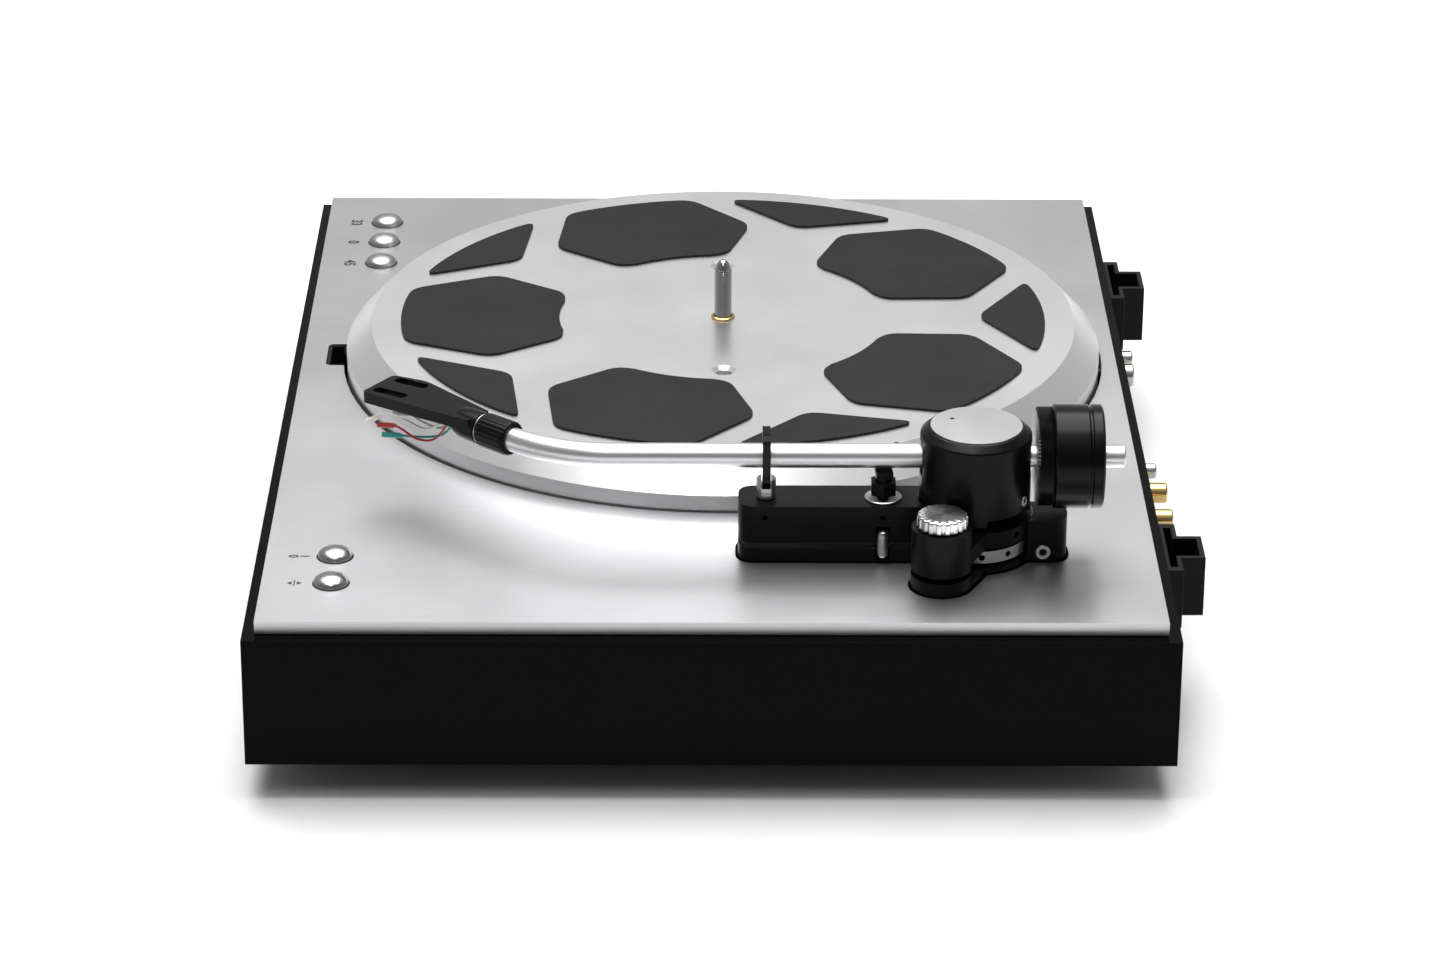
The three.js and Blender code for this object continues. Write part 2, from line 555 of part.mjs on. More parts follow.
add('lift_bushing', lathe(LIFT_X, LIFT_Y, [
  [2.6, UPPER_BLOCK_Z1 + 0.1], [7.2, UPPER_BLOCK_Z1 + 0.1], [6.8, UPPER_BLOCK_Z1 + 0.8],
  [4.4, UPPER_BLOCK_Z1 + 0.4], [2.6, UPPER_BLOCK_Z1 + 0.4], [2.6, UPPER_BLOCK_Z1 + 0.1]], 28),
  0xcfd0d2, 0.25, 1);

const LIFT_TOP = ARM_Z - TUBE_R - FIT;
const BAR_R0 = 32;
const BAR_R1 = 38.6;
const barPts = [];
const BAR_STEPS = 10;
for (let i = 0; i <= BAR_STEPS; i++) {
  const a = (-90 + 9 - (i / BAR_STEPS) * 49) * DEG;
  barPts.push(new THREE.Vector2(PIVOT_X + BAR_R1 * Math.cos(a), PIVOT_Y + BAR_R1 * Math.sin(a)));
}
for (let i = BAR_STEPS; i >= 0; i--) {
  const a = (-90 + 9 - (i / BAR_STEPS) * 49) * DEG;
  barPts.push(new THREE.Vector2(PIVOT_X + BAR_R0 * Math.cos(a), PIVOT_Y + BAR_R0 * Math.sin(a)));
}
let lift = extrude(barPts, LIFT_TOP - 2.2, LIFT_TOP);
lift = lift.add(cyl(LIFT_X, LIFT_Y, 5.4, UPPER_BLOCK_Z1 + 2, UPPER_BLOCK_Z1 + 7.4, 6));
lift = lift.add(cyl(LIFT_X, LIFT_Y, 3.2, UPPER_BLOCK_Z1 + 7, LIFT_TOP - 1, 20));
lift = lift.add(cyl(LIFT_X, LIFT_Y, 2, TOP + 20, UPPER_BLOCK_Z1 + 3, 20));
add('lift_platform', lift, black, 0.5, 0.3);

// ---------------------------------------------------------------- pivot housing
let cup = lathe(PIVOT_X, PIVOT_Y, [
  [0, TOP + 4], [4, TOP + 4], [4, CUP_Z0], [CUP_R, CUP_Z0], [CUP_R, CUP_EDGE_Z], [CUP_TOP_R, CUP_Z1],
  [0, CUP_Z1]], 48);
cup = cup.subtract(cyl(PIVOT_X, PIVOT_Y, CUP_BORE, CUP_Z0 + 6, CUP_Z1 - 4, 32));
cup = cup.subtract(box(PIVOT_X - WINDOW_HALF, PIVOT_X + WINDOW_HALF, PIVOT_Y - CUP_R - 2, PIVOT_Y + CUP_R + 2,
  ARM_Z - 6, ARM_Z + 6.4));
cup = cup.subtract(extrude([
  new THREE.Vector2(PIVOT_X + 12, PIVOT_Y + 4), new THREE.Vector2(PIVOT_X + 30, PIVOT_Y + 4),
  new THREE.Vector2(PIVOT_X + 30, PIVOT_Y + 30), new THREE.Vector2(PIVOT_X + 4, PIVOT_Y + 30),
  new THREE.Vector2(PIVOT_X + 4, PIVOT_Y + 17)], CUP_Z0 - 1, CUP_Z0 + 2.8));
add('pivot_housing', cup, black, 0.4, 0.6);
add('pivot_cap', lathe(PIVOT_X, PIVOT_Y, [
  [0, CUP_Z1 + 0.1], [DISC_R, CUP_Z1 + 0.1], [DISC_R, CUP_Z1 + 0.5], [0, CUP_Z1 + 0.5]], 40),
  0xc9cacc, 0.35, 1);

// ---------------------------------------------------------------- arm tube
// Straight run from behind the pivot, one bend, then a short straight run into the neck.
class ArmCurve extends THREE.Curve {
  getPoint(t, target = new THREE.Vector3()) {
    const s = t * ARM_L;
    const a = THREE.MathUtils.clamp((s - RUN_L) / BEND_R, 0, BEND_ANGLE * DEG);
    const run = Math.min(s, RUN_L);
    const tip = Math.max(0, s - RUN_L - BEND_L);
    return target.set(
      PIVOT_X - BEND_R * (1 - Math.cos(a)) - tip * Math.sin(a),
      TUBE_REAR_Y - run - BEND_R * Math.sin(a) - tip * Math.cos(a), ARM_Z);
  }
}
const TUBE_REAR_Y = PIVOT_Y + 8;
const RUN_L = TUBE_REAR_Y - BEND_START_Y;
const BEND_L = BEND_R * BEND_ANGLE * DEG;
const ARM_L = RUN_L + BEND_L + COLLAR_L + 1;
let tube = bar(new ArmCurve(), TUBE_R, 18, 40);
const bendEnd = new ArmCurve().getPoint((RUN_L + BEND_L) / ARM_L);
// Frame with local +Y along the head direction, origin where the bend ends.
const headFrame = new THREE.Matrix4().makeTranslation(bendEnd.x, bendEnd.y, bendEnd.z)
  .multiply(new THREE.Matrix4().makeRotationZ(Math.PI - BEND_ANGLE * DEG));
tube = tube.add(moved(latheY(0, COLLAR_L + 0.7, 0, [[0, 0], [6.3, 0], [6.3, 0.7], [0, 0.7]], 32), headFrame));
tube = tube.add(latheY(PIVOT_X, PIVOT_Y, ARM_Z, [
  [0, 0], [STUB_R, 0], [STUB_R, STUB_END_Y - PIVOT_Y - 0.6], [STUB_R - 0.6, STUB_END_Y - PIVOT_Y],
  [0, STUB_END_Y - PIVOT_Y]], 32));
tube = tube.add(moved(cyl(0, 0, 3, -CUP_BORE + 0.6, CUP_BORE - 0.6, 24), new THREE.Matrix4()
  .makeTranslation(PIVOT_X, PIVOT_Y, ARM_Z).multiply(new THREE.Matrix4().makeRotationY(Math.PI / 2))));
tube = tube.add(latheY(PIVOT_X, PIVOT_Y - 7, ARM_Z, [[0, 0], [7, 0], [7, 14], [0, 14]], 32));
add('arm_tube', tube, 0xc6c7ca, 0.3, 1);

const ribs = [];
const RIBS = 20;
for (let i = 0; i < RIBS * 2; i++) {
  const a = (i / (RIBS * 2)) * 2 * Math.PI;
  const r = i % 2 ? COLLAR_R : COLLAR_R - 0.4;
  ribs.push(new THREE.Vector2(r * Math.cos(a), r * Math.sin(a)));
}
let collar = extrude(ribs, 0, COLLAR_L).subtract(cyl(0, 0, TUBE_R + FIT, -1, COLLAR_L + 1, 32));
collar = moved(collar, headFrame.clone()
  .multiply(new THREE.Matrix4().makeTranslation(0, COLLAR_L + 0.3, 0))
  .multiply(new THREE.Matrix4().makeRotationX(Math.PI / 2)));
add('headshell_collar', collar, black, 0.35, 0.4);

// Headshell in its own frame: x across, y forward from the collar, z up.
const SHELL_Y = COLLAR_L + 1.7;
const PLATE_LOW = HEAD_TOP - HEAD_T - ARM_Z;
const shellPts = rounded([
  [-6, 2, 1], [6, 2, 1], [8.4, 20, 3], [11.4, 41, 3], [7, 55, 2], [-12.7, 52.7, 1.5], [-9.3, 24, 3]], 3);
let shell = extrude(shellPts, PLATE_LOW, HEAD_TOP - ARM_Z);
shell = shell.add(latheY(0, 0, 0, [
  [0, 0], [6.4, 0], [6.4, 6], [6, 10], [4.6, 13.4], [2.4, 15.4], [0, 16]], 24));
const SLOT_TURN = 10;
const SLOT_L = 14.8;
const SLOT_W = 4.4;
for (const [x, y] of [[-6.3, 43.5], [6, 43.9]]) {
  const slot = roundedBox(
    -SLOT_W / 2, SLOT_W / 2, -SLOT_L / 2, SLOT_L / 2, PLATE_LOW - 1, HEAD_TOP - ARM_Z + 1, 1.6);
  shell = shell.subtract(moved(slot, new THREE.Matrix4().makeTranslation(x, y, 0)
    .multiply(new THREE.Matrix4().makeRotationZ(SLOT_TURN * DEG))));
}
const shellFrame = headFrame.clone().multiply(new THREE.Matrix4().makeTranslation(0, SHELL_Y, 0));
add('headshell', moved(shell, shellFrame), black, 0.35, 0.5);

// Four signal leads leave the neck under the plate, sag and end in push-on clips.
const LEAD_START_Y = 17.4;
const LEAD_START_Z = PLATE_LOW - 1.4;
const LEAD_R = 0.5;
const CLIP_R = 1.1;
const LEADS = {
  lead_white: {
    color: 0xe6e2d8,
    via: [[-4.5, LEAD_START_Y, LEAD_START_Z], [-6, 25, -5.6], [-7.4, 34, -4.2], [-8.4, 42, -3.4],
      [-8.8, 47, -5.2]],
    clip: [-0.3, 7, -4.5],
  },
  lead_red: {
    color: 0xb02a2a,
    via: [[-1.6, LEAD_START_Y, LEAD_START_Z], [-1.2, 20.4, -6.6], [-1.6, 26, -12], [-3.6, 32.6, -12.6],
      [-6.2, 37.8, -9.2], [-7.4, 40.4, -8]],
    clip: [-2, 7.4, -1.2],
  },
  lead_green: {
    color: 0x1f8f86,
    via: [[1.4, LEAD_START_Y, LEAD_START_Z], [3.4, 20.2, -6], [4, 26, -11.6], [1.4, 32, -13.4],
      [-2.6, 36.2, -13], [-6, 38.4, -12.2]],
    clip: [-3.6, 7, -0.4],
  },
  lead_blue: {
    color: 0x8f9398,
    via: [[4.4, LEAD_START_Y, LEAD_START_Z], [6, 23, -6.8], [6.6, 30, -10.6], [6, 37.4, -10.2],
      [4.4, 43.6, -7.6]],
    clip: [-1.2, 7.8, -1.6],
  },
};
for (const [name, lead] of Object.entries(LEADS)) {
  const via = lead.via.map((p) => new THREE.Vector3(...p));
  const wire = bar(new THREE.CatmullRomCurve3(via), LEAD_R, 8, 16);
  const end = via[via.length - 1];
  const tip = end.clone().add(new THREE.Vector3(...lead.clip));
  const clip = bar(new THREE.LineCurve3(end, tip), CLIP_R, 8, 1);
  add(name, moved(wire.add(clip), shellFrame), lead.color, 0.6, 0);
}

// ---------------------------------------------------------------- counterweight
const boreR = STUB_R + FIT;
const weightL = WEIGHT_Y1 - WEIGHT_Y0;
add('counterweight', latheY(PIVOT_X, WEIGHT_Y0, ARM_Z, [
  [boreR, 0], [WEIGHT_R - 0.6, 0], [WEIGHT_R, 0.6], [WEIGHT_R, 13.3], [WEIGHT_R - 0.6, 13.6],
  [WEIGHT_R - 0.6, 14.5],
  [WEIGHT_R, 14.8], [WEIGHT_R, weightL - 0.8], [WEIGHT_R - 0.8, weightL], [boreR, weightL], [boreR, 0]], 40),
  black, 0.4, 0.6);
const knurlL = WEIGHT_Y0 - FIT - KNURL_Y0;
add('counterweight_ring', latheY(PIVOT_X, KNURL_Y0, ARM_Z, [
  [boreR, 0], [KNURL_R - 0.8, 0], [KNURL_R, 0.8], [KNURL_R, knurlL], [boreR, knurlL], [boreR, 0]], 40),
  black, 0.6, 0.5);

export default group;
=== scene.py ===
import json
import math

import bmesh
import bpy
from mathutils import Matrix, Vector


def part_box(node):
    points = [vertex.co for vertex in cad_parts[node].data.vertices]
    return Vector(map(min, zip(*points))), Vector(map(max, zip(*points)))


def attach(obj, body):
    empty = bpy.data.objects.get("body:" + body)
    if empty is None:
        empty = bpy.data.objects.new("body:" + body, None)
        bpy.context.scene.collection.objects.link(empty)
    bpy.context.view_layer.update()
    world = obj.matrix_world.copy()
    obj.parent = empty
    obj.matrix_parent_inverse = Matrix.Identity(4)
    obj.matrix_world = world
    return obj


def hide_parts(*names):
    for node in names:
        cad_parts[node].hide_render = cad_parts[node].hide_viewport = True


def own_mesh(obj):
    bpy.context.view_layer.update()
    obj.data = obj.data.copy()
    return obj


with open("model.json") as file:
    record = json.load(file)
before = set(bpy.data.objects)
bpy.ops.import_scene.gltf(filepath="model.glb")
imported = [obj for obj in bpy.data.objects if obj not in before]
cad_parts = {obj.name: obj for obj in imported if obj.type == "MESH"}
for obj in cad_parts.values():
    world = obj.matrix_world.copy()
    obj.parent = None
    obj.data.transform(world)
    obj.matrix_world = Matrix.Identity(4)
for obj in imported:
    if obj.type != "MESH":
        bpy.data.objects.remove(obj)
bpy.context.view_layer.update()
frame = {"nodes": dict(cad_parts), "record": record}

MM = 0.001
RECORD = frame["record"]
BODY_OF = {n: body for body, nodes in RECORD["behaviour"]["bodies"].items() for n in nodes}
SLOT_OF = {row["node"]: row["material_slot"] for row in RECORD["subparts"]}


def centre(node):
    lo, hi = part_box(node)
    return (Vector(lo) + Vector(hi)) / 2


def top_of(node):
    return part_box(node)[1][2]


SPINDLE = centre("spindle_ring")
PIVOT = centre("pivot_cap")
ARM_Z = centre("counterweight").z
PLINTH_TOP = top_of("plinth_frame")
PLATE_TOP = top_of("top_plate")
PLATTER_TOP = top_of("platter")

# ---------------------------------------------------------------- camera
LENS_MM = 120.45
SENSOR_MM = 36
EYE = Vector((1.85051, -0.018596, 0.866666))
YAW = math.radians(-0.498)
PITCH = math.radians(24.312)
ROLL = math.radians(0.34)


def add_camera():
    look = Vector((-math.cos(YAW) * math.cos(PITCH), -math.sin(YAW) * math.cos(PITCH), -math.sin(PITCH)))
    right = look.cross(Vector((0, 0, 1))).normalized()
    up = right.cross(look)
    turned_right = math.cos(ROLL) * right + math.sin(ROLL) * up
    turned_up = -math.sin(ROLL) * right + math.cos(ROLL) * up
    data = bpy.data.cameras.new("photo_camera")
    data.sensor_width = SENSOR_MM
    data.lens = LENS_MM
    data.clip_end = 20
    camera = bpy.data.objects.new("photo_camera", data)
    turn = Matrix((turned_right, turned_up, -look)).transposed().to_4x4()
    camera.matrix_world = Matrix.Translation(EYE) @ turn
    bpy.context.collection.objects.link(camera)
    bpy.context.scene.camera = camera


add_camera()


# ---------------------------------------------------------------- materials
def add_node(mat, kind, settings=None, inputs=None):
    node = mat.node_tree.nodes.new(kind)
    for name, value in (settings or {}).items():
        setattr(node, name, value)
    for name, value in (inputs or {}).items():
        if isinstance(value, bpy.types.NodeSocket):
            mat.node_tree.links.new(value, node.inputs[name])
        else:
            node.inputs[name].default_value = value
    return node


def spread(mat, fac, low, high):
    """Turns a noise value, which mostly lies between 0.3 and 0.7, into low to high."""
    return add_node(mat, "ShaderNodeMapRange", inputs={
        "Value": fac, "From Min": 0.3, "From Max": 0.7, "To Min": low, "To Max": high}).outputs["Result"]


def radial_coords(mat, coords, axis_point, axis):
    """Distance from a turning axis, so that noise on it makes rings."""
    flat = [0.0 if i == "XYZ".index(axis) else 1.0 for i in range(3)]
    off = add_node(mat, "ShaderNodeVectorMath", {"operation": "SUBTRACT"}, {0: coords, 1: axis_point})
    kept = add_node(mat, "ShaderNodeVectorMath", {"operation": "MULTIPLY"}, {0: off.outputs[0], 1: flat})
    length = add_node(mat, "ShaderNodeVectorMath", {"operation": "LENGTH"}, {0: kept.outputs[0]})
    return add_node(mat, "ShaderNodeCombineXYZ", inputs={"X": length.outputs["Value"]}).outputs[0]


def finish_material(name, colour, roughness, metallic=0.0, fine=1200, stretch=(1, 1, 1), tint=0.06, bump=0.06,
                    smudge=0.12, smudge_scale=18, turned_about=None, sockets=None):
    """A finish with fine grain (colour, bump) and broad smudges (roughness), in the frame's coordinates."""
    mat = bpy.data.materials.new(name)
    mat.use_nodes = True
    shader = mat.node_tree.nodes["Principled BSDF"]
    shader.inputs["Metallic"].default_value = metallic
    for socket, value in (sockets or {}).items():
        shader.inputs[socket].default_value = value
    coords = add_node(mat, "ShaderNodeTexCoord").outputs["Object"]
    grain_coords = coords
    if turned_about:
        grain_coords = radial_coords(mat, coords, *turned_about)
    mapped = add_node(mat, "ShaderNodeMapping", inputs={
        "Vector": grain_coords, "Scale": [fine * s for s in stretch]}).outputs["Vector"]
    grain = add_node(mat, "ShaderNodeTexNoise", inputs={
        "Vector": mapped, "Scale": 1.0, "Detail": 3.0, "Roughness": 0.6}).outputs["Fac"]
    cloud = add_node(mat, "ShaderNodeTexNoise", inputs={
        "Vector": coords, "Scale": smudge_scale, "Detail": 4.0, "Roughness": 0.55}).outputs["Fac"]
    tone = add_node(mat, "ShaderNodeMix", {"data_type": "RGBA"}, {
        "Factor": spread(mat, grain, 0.0, 1.0),
        6: [c * (1 - tint) for c in colour] + [1], 7: [min(1, c * (1 + tint)) for c in colour] + [1]})
    links = mat.node_tree.links
    links.new(tone.outputs[2], shader.inputs["Base Color"])
    links.new(spread(mat, cloud, roughness * (1 - smudge), roughness * (1 + smudge)),
              shader.inputs["Roughness"])
    relief = add_node(mat, "ShaderNodeBump", inputs={"Strength": bump, "Distance": 0.0002, "Height": grain})
    links.new(relief.outputs["Normal"], shader.inputs["Normal"])
    return mat


def black_finish(name, roughness=0.3, **more):
    return finish_material(name, (0.0018, 0.0018, 0.002), roughness, fine=2600, tint=0.2, bump=0.08,
                           sockets={"IOR": 1.5, "Specular IOR Level": 0.14}, **more)


FINISH = {
    "gloss_black_lacquer": finish_material(
        "gloss_black_lacquer", (0.0006, 0.0006, 0.0007), 0.07, fine=160, bump=0.015, smudge=0.35,
        smudge_scale=30, sockets={"IOR": 1.5, "Specular IOR Level": 0.045}),
    "black_panel": black_finish("black_panel", 0.55),
    "foot_rubber": finish_material("foot_rubber", (0.02, 0.02, 0.02), 0.8, fine=1500, tint=0.25, bump=0.25),
    "plate_aluminium": finish_material(
        "plate_aluminium", (0.575, 0.568, 0.58), 0.37, 1.0, fine=2600, stretch=(1, 0.012, 1), tint=0.035,
        bump=0.05, smudge=0.12, smudge_scale=7),
    "black_plastic": finish_material("black_plastic", (0.004, 0.004, 0.0045), 0.38, fine=2200, tint=0.2,
                                     bump=0.16, sockets={"IOR": 1.5, "Specular IOR Level": 0.12}),
    "button_chrome": finish_material(
        "button_chrome", (0.36, 0.358, 0.362), 0.33, 1.0, fine=600, tint=0.01, bump=0.01, smudge=0.4),
    "gold_plate": finish_material("gold_plate", (0.6, 0.42, 0.17), 0.22, 1.0, fine=900, tint=0.05, bump=0.03),
    "nickel_plate": finish_material("nickel_plate", (0.48, 0.47, 0.45), 0.24, 1.0, fine=900, tint=0.05,
                                    bump=0.03),
    "chassis_alloy": black_finish("chassis_alloy", 0.5),
    "spring_steel": finish_material("spring_steel", (0.6, 0.6, 0.62), 0.3, 1.0, fine=1500, tint=0.08),
    "motor_steel": finish_material("motor_steel", (0.5, 0.5, 0.52), 0.36, 1.0, fine=1500, tint=0.08),
    "belt_rubber": finish_material("belt_rubber", (0.02, 0.02, 0.02), 0.7, fine=2500, tint=0.2, bump=0.2),
    "turned_steel": finish_material(
        "turned_steel", (0.42, 0.42, 0.44), 0.08, 1.0, fine=9000, tint=0.03, bump=0.03,
        turned_about=(SPINDLE, "Z")),
    "platter_alloy": finish_material(
        "platter_alloy", (0.95, 0.942, 0.955), 0.29, 1.0, fine=5200, tint=0.02, bump=0.012, smudge=0.08,
        turned_about=(SPINDLE, "Z")),
    "pad_rubber": finish_material(
        "pad_rubber", (0.009, 0.0088, 0.0093), 0.56, fine=1700, tint=0.25, bump=0.24, smudge=0.2,
        smudge_scale=26, sockets={"IOR": 1.35, "Specular IOR Level": 0.3}),
    "arm_base_black": black_finish("arm_base_black"),
    "weight_black": black_finish("weight_black", 0.24),
    "bright_steel": finish_material("bright_steel", (0.5, 0.495, 0.5), 0.32, 1.0, fine=1600, tint=0.05),
    "knob_alloy": finish_material(
        "knob_alloy", (0.95, 0.942, 0.95), 0.27, 1.0, fine=9000, tint=0.05, bump=0.05,
        turned_about=(centre("antiskate_knob"), "Z")),
    "cap_alloy": finish_material(
        "cap_alloy", (0.66, 0.66, 0.67), 0.34, 1.0, fine=2600, tint=0.04, bump=0.04),
    "tube_alloy": finish_material(
        "tube_alloy", (0.7, 0.7, 0.715), 0.36, 1.0, fine=2400, tint=0.03, bump=0.015),
    "hook_plastic": finish_material(
        "hook_plastic", (0.002, 0.002, 0.002), 0.16, fine=900, bump=0.03,
        sockets={"IOR": 1.45, "Specular IOR Level": 0.2}),
    "lead_white_pvc": finish_material("lead_white_pvc", (0.78, 0.74, 0.66), 0.5, fine=900, bump=0.1),
    "lead_red_pvc": finish_material("lead_red_pvc", (0.42, 0.03, 0.03), 0.45, fine=900, bump=0.1),
    "lead_green_pvc": finish_material("lead_green_pvc", (0.015, 0.3, 0.27), 0.45, fine=900, bump=0.1),
    "lead_grey_pvc": finish_material("lead_grey_pvc", (0.3, 0.32, 0.34), 0.5, fine=900, bump=0.1),
}
POLISHED_BAND = finish_material(
    "platter_band", (0.86, 0.855, 0.865), 0.33, 1.0, fine=9000, tint=0.02, bump=0.02,
    turned_about=(SPINDLE, "Z"))
PRINT_INK = finish_material("print_ink", (0.02, 0.02, 0.022), 0.5, fine=3000, tint=0.2, bump=0.05)
KNURL_BLACK = finish_material("knurl_black", (0.003, 0.003, 0.003), 0.2, fine=2600, tint=0.2, bump=0.03,
                              sockets={"IOR": 1.5, "Specular IOR Level": 0.6})
# Near-black colour for the walls of the height ring's holes: painted shade where the holes fall dark.
PAINTED_HOLE_SHADE = finish_material("painted_hole_shade", (0.004, 0.004, 0.004), 0.7, fine=1500, bump=0.1)

for name, cad_node in frame["nodes"].items():
    cad_node.data.materials.clear()
    cad_node.data.materials.append(FINISH[SLOT_OF[name]])


def paint_fan_highlights(mat, middle, heading, depth):
    """Light and dark fans about a turning centre, multiplied into the base colour: painted highlight and
    painted shade standing in for the fan-shaped reflections that turning marks give a flat end face.
    """
    shader = mat.node_tree.nodes["Principled BSDF"]
    colour = shader.inputs["Base Color"].links[0].from_socket
    coords = add_node(mat, "ShaderNodeTexCoord").outputs["Object"]
    off = add_node(mat, "ShaderNodeVectorMath", {"operation": "SUBTRACT"}, {0: coords, 1: middle}).outputs[0]
    parts = add_node(mat, "ShaderNodeSeparateXYZ", inputs={"Vector": off}).outputs
    angle = add_node(mat, "ShaderNodeMath", {"operation": "ARCTAN2"},
                     {0: parts["Y"], 1: parts["X"]}).outputs[0]
    twice = add_node(mat, "ShaderNodeMath", {"operation": "MULTIPLY_ADD"},
                     {0: angle, 1: 2.0, 2: heading}).outputs[0]
    wave = add_node(mat, "ShaderNodeMath", {"operation": "SINE"}, {0: twice}).outputs[0]
    shade = add_node(mat, "ShaderNodeMapRange", inputs={
        "Value": wave, "From Min": -1.0, "From Max": 1.0, "To Min": 1 - depth,
        "To Max": 1.0}).outputs["Result"]
    grey = add_node(mat, "ShaderNodeCombineColor",
                    inputs={"Red": shade, "Green": shade, "Blue": shade}).outputs[0]
    mixed = add_node(mat, "ShaderNodeMix", {"data_type": "RGBA", "blend_type": "MULTIPLY"},
                     {"Factor": 1.0, 7: grey})
    mat.node_tree.links.new(colour, mixed.inputs[6])
    mat.node_tree.links.new(mixed.outputs[2], shader.inputs["Base Color"])


# Painted highlight and painted shade: light and dark fans in the base colour of the knob's turned top.
paint_fan_highlights(FINISH["knob_alloy"], centre("antiskate_knob"), 0.4, 0.5)


# ---------------------------------------------------------------- building helpers
def new_piece(name, mesh, material, node=None, body=None):
    """Links a mesh as a piece that stands for a CAD node, or rides on a body as an added detail."""
    piece = bpy.data.objects.new(name, mesh)
    bpy.context.collection.objects.link(piece)
    if not mesh.materials:
        mesh.materials.append(material)
    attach(piece, body or BODY_OF[node])
    if node:
        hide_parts(node)
    return piece


def soften(piece, bevel_mm, segments=3, angle=32):
    """Rounded edges with flat faces left flat."""
    for face in piece.data.polygons:
        face.use_smooth = True
    bevel = piece.modifiers.new("edge", "BEVEL")
    bevel.width = bevel_mm * MM
    bevel.segments = segments
    bevel.limit_method = "ANGLE"
    bevel.angle_limit = math.radians(angle)
    bevel.miter_outer = "MITER_ARC"
    shading = piece.modifiers.new("shading", "WEIGHTED_NORMAL")
    shading.keep_sharp = True
    return piece


def refine(node, bevel_mm, segments=3, cutters=(), join=True):
    """The CAD node's own shape with its edges rounded, and its flat facets joined unless join is off."""
    mesh = frame["nodes"][node].data.copy()
    bm = bmesh.new()
    bm.from_mesh(mesh)
    bmesh.ops.remove_doubles(bm, verts=bm.verts, dist=0.002 * MM)
    if join:
        bmesh.ops.dissolve_limit(bm, angle_limit=math.radians(0.6), verts=bm.verts, edges=bm.edges)
    bm.to_mesh(mesh)
    bm.free()
    piece = new_piece(f"{node}_body", mesh, FINISH[SLOT_OF[node]], node)
    cut(piece, cutters)
    return soften(piece, bevel_mm, segments)


def loft(name, rings, material, node=None, body=None, matrix=None, closed=False):
    """Skin over rings of points, all with the same count; a closed skin joins the last ring to the first."""
    bm = bmesh.new()
    levels = [[bm.verts.new((matrix or Matrix()) @ Vector(p)) for p in ring] for ring in rings]
    pairs = list(zip(levels, levels[1:]))
    if closed:
        pairs.append((levels[-1], levels[0]))
    for low, high in pairs:
        for i in range(len(low)):
            j = (i + 1) % len(low)
            bm.faces.new((low[i], low[j], high[j], high[i]))
    if not closed:
        bm.faces.new(list(reversed(levels[0])))
        bm.faces.new(levels[-1])
    bmesh.ops.remove_doubles(bm, verts=bm.verts, dist=0.001 * MM)
    bmesh.ops.recalc_face_normals(bm, faces=bm.faces)
    mesh = bpy.data.meshes.new(name)
    bm.to_mesh(mesh)
    bm.free()
    return new_piece(name, mesh, material, node, body)


def circle(radius, height, sides):
    return [(radius * math.cos(2 * math.pi * i / sides), radius * math.sin(2 * math.pi * i / sides), height)
            for i in range(sides)]


def along(point, direction=(0, 0, 1)):
    """Puts a piece made along +Z at a point, facing a direction."""
    return Matrix.Translation(point) @ Vector(direction).to_track_quat("Z", "Y").to_matrix().to_4x4()


# Stands in for a radius of 0 while a turned skin is made; the points there are then merged.
AXIS_R = 0.0001


def turned(name, profile_mm, matrix, material=None, node=None, body=None, sides=96, bevel_mm=0.2):
    """A lathe piece: [radius, height] pairs in mm, from axis to axis, or closed round a bore."""
    closed = profile_mm[0] == profile_mm[-1]
    profile = profile_mm[:-1] if closed else profile_mm
    rings = [circle(max(r, AXIS_R) * MM, h * MM, sides) for r, h in profile]
    piece = loft(name, rings, material or FINISH[SLOT_OF[node]], node, body, matrix, closed)
    return soften(piece, bevel_mm)


def cut(piece, cutters):
    """Takes each cutter out of the piece, and removes the cutter."""
    for cutter in cutters:
        boolean = piece.modifiers.new("cut", "BOOLEAN")
        boolean.object = cutter
        boolean.solver = "EXACT"
        graph = bpy.context.evaluated_depsgraph_get()
        mesh = bpy.data.meshes.new_from_object(piece.evaluated_get(graph))
        piece.modifiers.clear()
        piece.data = mesh
        bpy.data.objects.remove(cutter)


def cutting_tool(rings, capped):
    """A tool for cut(), skinned over rings of points; capped puts a face on each end."""
    bm = bmesh.new()
    levels = [[bm.verts.new(p) for p in ring] for ring in rings]
    for low, high in zip(levels, levels[1:]):
        for i in range(len(low)):
            j = (i + 1) % len(low)
            bm.faces.new((low[i], low[j], high[j], high[i]))
    if capped:
        bm.faces.new(list(reversed(levels[0])))
        bm.faces.new(levels[-1])
    bmesh.ops.remove_doubles(bm, verts=bm.verts, dist=0.001 * MM)
    bmesh.ops.recalc_face_normals(bm, faces=bm.faces)
    mesh = bpy.data.meshes.new("cutter")
    bm.to_mesh(mesh)
    bm.free()
    tool = bpy.data.objects.new("cutter", mesh)
    bpy.context.collection.objects.link(tool)
    return tool


def cutter(profile_mm, matrix, sides=32):
    """A turned tool for cut()."""
    return cutting_tool([[matrix @ Vector(p) for p in circle(max(r, AXIS_R) * MM, h * MM, sides)]
                         for r, h in profile_mm], capped=False)


def repaint(piece, material, test):
    """Gives a second material to the faces that pass the test."""
    piece.data.materials.append(material)
    index = len(piece.data.materials) - 1
    for face in piece.data.polygons:
        if test(face):
            face.material_index = index


